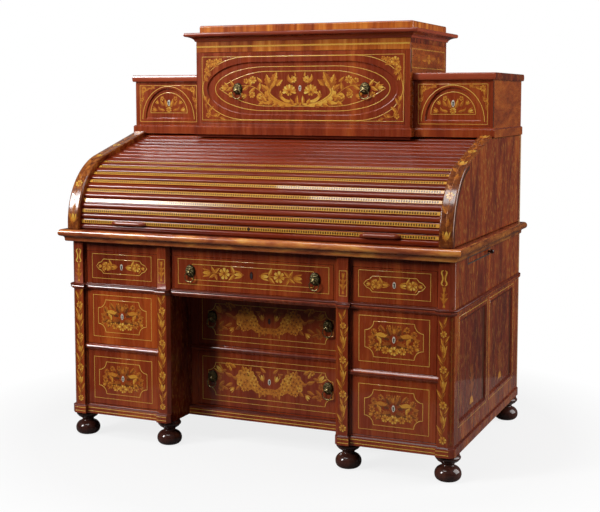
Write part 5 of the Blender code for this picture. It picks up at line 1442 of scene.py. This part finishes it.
trailLook = {
    "stem": 0.0009, "sway": 0.0010, "period": 0.116, "bloomLift": 0.0003, "steps": 60,
    "pilaster": (("inner", pilasterLook["inner"], 0.148, 0.500), ("outer", pilasterLook["outer"], 0.146, 0.498)),
    "cant": {"inset": 0.008, "low": 0.136, "run": 0.41, "steps": 40},
    "rail": {"start": 0.026, "run": 0.60, "steps": 90, "beat": 0.42},
}
ground = flatFace((0, 0, 0), (1, 0, 0), (0, 1, 0), (0, 0, 1))


def trailShape(name, shapes, lift=0.0):
    return bpy.data.objects.new(name, slipMesh(name, [(ground, outline, tone, lift) for outline, tone in shapes]))


def trailOf(leafShapes, bloom, secondBloom, leafStep, bloomStep, lean):
    lift = trailLook["bloomLift"]
    return {"leaf": trailShape("trailLeaf", leafShapes), "bloom": trailShape("trailBloom", bloom, lift),
            "secondBloom": trailShape("trailSecondBloom", secondBloom, lift),
            "leafStep": leafStep, "bloomStep": bloomStep, "lean": lean}


def leafPair(start, length, light):
    half = turned(leaf(length, length * 0.30, 0.14, light, light * 0.58), (start, 0.0008), 0.32)
    half += turned(leaf(length * 0.60, length * 0.20, 0.10, light * 0.66, light * 0.44), (start - 0.010, 0.0008), 0.52)
    other = [([(u + start * 0.75, -v) for u, v in outline], [shade * 0.86 for shade in tone]) for outline, tone in half]
    return half + other


pilasterTrail = trailOf(leafPair(0.020, 0.035, 0.85), turned(tulip(0.030, 0.92, 0.60), (-0.004, 0.0)),
                        blossom(0.0128, 7, 0.86, 0.30), 0.058, 0.058, 0.03)
railTrail = trailOf(acanthus(0.030, 0.015, 0.2, 0.74, 0.50), blossom(0.0150, 7, 0.96, 0.42), tulip(0.034, 0.94, 0.64),
                    0.042, 0.140, 0.40)
# the canted corners' trail is toned dark: painted shade of the canted face
cantTrailShaded = trailOf(leafPair(0.018, 0.020, 0.40), tulip(0.016, 0.36, 0.26), blossom(0.0065, 6, 0.34, 0.2),
                    0.060, 0.060, 0.05)


def lineEdges(base, count, closed):
    edges = [(base + k, base + k + 1) for k in range(count - 1)]
    return edges + [(base + count - 1, base)] if closed else edges


def addTrail(name, points, look, seed, across=(1.0, 0.0, 0.0)):
    start = bpy.data.meshes.new("line")
    start.from_pydata(points, lineEdges(0, len(points), False), [])
    values = {**look, "across": across, "stem": trailLook["stem"], "seed": seed, "inlay": finishes["boxwoodInlay"]}
    addPiece(name, grown(trailTree, values, start), "carcase", ())


cant, rail = trailLook["cant"], trailLook["rail"]
for sideName, side in sides:
    for tag, x, low, high in trailLook["pilaster"]:
        points = []
        for k in range(trailLook["steps"] + 1):
            z = low + (high - low) * k / trailLook["steps"]
            sway = trailLook["sway"] * math.sin(2 * math.pi * z / trailLook["period"] + side)
            points.append(Vector((side * x + sway, frontY, z)))
        addTrail("trail_" + tag + "_" + sideName, points, pilasterTrail, 3 + side)
    x, y = side * (outerX - cant["inset"]), frontY + cant["inset"]
    points = [Vector((x, y, cant["low"] + cant["run"] * k / cant["steps"])) for k in range(cant["steps"] + 1)]
    addTrail("trail_cant_" + sideName, points, cantTrailShaded, 5 + side, (1.0, side, 0.0))
    points = []
    for k in range(rail["steps"] + 1):
        y, z = trackAt(rail["start"] + rail["run"] * k / rail["steps"], sideLook["knuckle"])[:2]
        points.append(Vector((side * (railX0 + outerX) / 2 + trailLook["sway"] * math.sin(k * rail["beat"]), y, z)))
    addTrail("trail_rail_" + sideName, points, railTrail, 7 + side)

for body, jobs in inlayJobs.items():
    addPiece("inlay_" + body, slipMesh("inlay", jobs), body, ["boxwoodInlay"])
for body, lines in stringJobs.items():
    points, edges, outs = [], [], []
    for line, closed, out in lines:
        edges += lineEdges(len(points), len(line), closed)
        points += line
        outs += [c for _ in line for c in out]
    start = bpy.data.meshes.new("strings")
    start.from_pydata(points, edges, [])
    start.attributes.new("out", "FLOAT_VECTOR", "POINT").data.foreach_set("vector", outs)
    values = {"radius": inlayLook["string"], "tone": inlayLook["stringTone"], "inlay": finishes["boxwoodInlay"]}
    mesh = grown(stringTree, values, start)
    mesh.shade_smooth()
    addPiece("strings_" + body, mesh, body, ())

# Keyhole plates: a small shield of bone or dark wood, with the hole in it painted as a dark slip of shade
plateLook = {
    "wide": 0.0054, "high": 0.0112, "hole": 0.0031, "holeUp": 0.0028, "open": 0.9, "slot": 0.0080, "narrow": 0.0022,
    "lift": 0.0004, "holeLift": 0.0006,
}
for body, plates in keyJobs.items():
    for number, (face, (u, v), kind, size) in enumerate(plates):
        wide, high, bore = plateLook["wide"] * size, plateLook["high"] * size, plateLook["hole"] * size
        oval = ovalLine(u, v, wide, high, 0.0, 2 * math.pi, 28)[:-1]
        holeV, start = v + plateLook["holeUp"] * size, -plateLook["open"]
        hole = ovalLine(u, holeV, bore, bore, start, math.pi - start, 14)
        hole += [(u + sign * plateLook["narrow"] * size, v - plateLook["slot"] * size) for sign in (-1, 1)]
        mesh = slipMesh("plate", [(face, oval, 0.9, plateLook["lift"])])
        addPiece("keyplate_%s_%d" % (body, number), mesh, body, ["keyBone" if kind == "bone" else "darkTurned"])
        mesh = slipMesh("keyhole", [(face, hole, 0.1, plateLook["holeLift"])])
        addPiece("keyhole_%s_%d" % (body, number), mesh, body, ["keyDark"])
# dark slips round the slide's opening: painted shade of the gap
slideGap = {"side": 0.006, "high": 0.0040}
x0, x1, y0, y1, z0, z1 = box("side_slide")
left, right = y0 - slideGap["side"], y1 + slideGap["side"]
gaps = ((left, right, z1, z1 + slideGap["high"]), (left, right, z0 - slideGap["high"], z0), (left, y0, z0, z1),
        (y1, right, z0, z1))
mesh = slipMesh("slideGap", [(sideFace(1, outerX), corners(*gap), 0.1, 0.0) for gap in gaps])
addPiece("slide_gap", mesh, "carcase", ["keyDark"])

# Ring pulls: a cast lion mask, its muzzle bored for the ring, and the ring itself
maskLook = {
    "half": (0.0195, 0.0222), "depth": 0.0088, "rings": 22, "spokes": 64, "foot": 0.0012, "locks": 17, "wave": 0.035,
    "muzzle": (0.0061, 0.00305, 0.0086), "muzzleSteps": 28, "eye": (0.0108, -0.004), "rubbedFrom": 0.0105, "smooth": 60,
}
maskBumps = (  # across, up, spread across, spread up, height: brow, eyes, nose, cheeks, ears, chin, tuft
    (0.24, 0.42, 0.14, 0.08, 0.22), (0.24, 0.27, 0.08, 0.06, -0.28), (0.0, 0.24, 0.08, 0.20, 0.26),
    (0.36, -0.16, 0.12, 0.16, 0.20),
    (0.58, 0.60, 0.12, 0.12, 0.30), (0.0, -0.60, 0.18, 0.10, 0.18), (0.0, 0.66, 0.14, 0.14, 0.16))
ringLook = {"steps": 56, "sides": 14, "swell": 0.28, "bead": 0.22, "beadFrom": 0.9, "rubbed": 0.85}


def maskRelief(reach, turn):
    u, v = reach * math.cos(turn), reach * math.sin(turn)
    rise = 0.62 * math.sqrt(max(1.0 - reach ** 2.2, 0.0)) + 0.06 * (1.0 - reach)
    mane = clamped((reach - 0.50) / 0.18) * min((1.0 - reach) / 0.06, 1.0)
    rise += mane * (0.10 + 0.085 * math.cos(maskLook["locks"] * turn + 5.0 * reach)
                    + 0.04 * math.cos(9 * turn - 8.0 * reach))
    for across, up, wide, high, height in maskBumps:
        for side in ((1, -1) if across else (1,)):
            rise += height * math.exp(-((u - side * across) / wide) ** 2 - ((v - up) / high) ** 2)
    return rise


def addMask(work, midX, y1, midZ):
    (halfX, halfZ), depth, spokes = maskLook["half"], maskLook["depth"], maskLook["spokes"]
    rings = [[(midX, y1 - depth * maskRelief(0.0, 0.0), midZ)]]
    for k in range(1, maskLook["rings"] + 1):
        reach = k / maskLook["rings"]
        ring = []
        for turn in turnsOf(spokes):
            edge = 1.0 + maskLook["wave"] * math.cos(maskLook["locks"] * turn) * reach ** 4
            lift = depth * maskRelief(reach, turn) + maskLook["foot"]
            ring.append((midX + halfX * reach * edge * math.cos(turn), y1 - lift,
                         midZ + halfZ * reach * edge * math.sin(turn)))
        rings.append(ring)
    rings.append([(x, y1, z) for x, y, z in rings[-1]])
    rows = vertRows(work, rings)
    for s in range(spokes):
        t = (s + 1) % spokes
        work.faces.new((rows[0][0], rows[1][s], rows[1][t]))
        for low, high in zip(rows[1:], rows[2:]):
            work.faces.new((low[s], high[s], high[t], low[t]))
    work.faces.new(rows[-1])


def addMuzzle(work, midX, y1, midZ):
    outer, bore, wide = maskLook["muzzle"]
    eyeY, eyeZ = y1 - maskLook["eye"][0], midZ + maskLook["eye"][1]
    tube = [(bore, wide / 2 - 0.001), (bore + 0.0008, wide / 2), (outer - 0.0012, wide / 2), (outer, wide / 2 - 0.0014)]
    tube += [(r, -a) for r, a in tube[::-1]]
    turns = turnsOf(maskLook["muzzleSteps"])
    spun = [[(midX + a, eyeY + r * math.cos(t), eyeZ + r * math.sin(t)) for r, a in tube] for t in turns]
    bridge(work, vertRows(work, spun), True)


def addRing(work, node):
    x0, x1, y0, y1, z0, z1 = box(node)
    midX, midY, midZ = (x0 + x1) / 2, (y0 + y1) / 2, (z0 + z1) / 2
    thin = (y1 - y0) / 2
    reach = (x1 - x0) / 2 - thin
    hoops = []
    for t in turnsOf(ringLook["steps"]):
        low = max(-math.sin(t), 0.0)
        tube = thin * (1.0 + ringLook["swell"] * low ** 3)
        bead = tube
        if low > ringLook["beadFrom"]:
            bead *= 1.0 + ringLook["bead"] * max(math.cos((t - 3 * quarter) * 3.0), 0.0) ** 6
        hoop = []
        for a in turnsOf(ringLook["sides"]):
            out = reach + (bead * math.cos(a) - (tube - thin))
            hoop.append((midX + out * math.cos(t), midY + bead * math.sin(a), midZ + out * math.sin(t)))
        hoops.append(hoop)
    bridge(work, vertRows(work, hoops), True)


def brassPiece(node, work, body, rubbed):
    mesh = meshFrom(node, work)
    mesh.attributes.new("rubbed", "FLOAT", "POINT").data.foreach_set("value", [rubbed(v.co) for v in mesh.vertices])
    addPiece(node + "_cast", mesh, body, ["antiqueBrass"], [node], maskLook["smooth"])


maskBodies = {"frieze": "drawer_centre_frieze", "kneehole_lower": "drawer_kneehole_lower",
              "kneehole_upper": "drawer_kneehole_upper", "upper": "drawer_upper_centre"}
for place, body in maskBodies.items():
    for sideName, side in sides:
        node = "mask_" + place + "_" + sideName
        x0, x1, y0, y1, z0, z1 = box(node)
        work = bmesh.new()
        addMask(work, (x0 + x1) / 2, y1, (z0 + z1) / 2)
        addMuzzle(work, (x0 + x1) / 2, y1, (z0 + z1) / 2)
        brassPiece(node, work, body, lambda at: clamped((y1 - at.y) / maskLook["rubbedFrom"]))
        node = "ring_" + place + "_" + sideName
        work = bmesh.new()
        addRing(work, node)
        brassPiece(node, work, node, lambda at: ringLook["rubbed"])
print("masks and rings done")
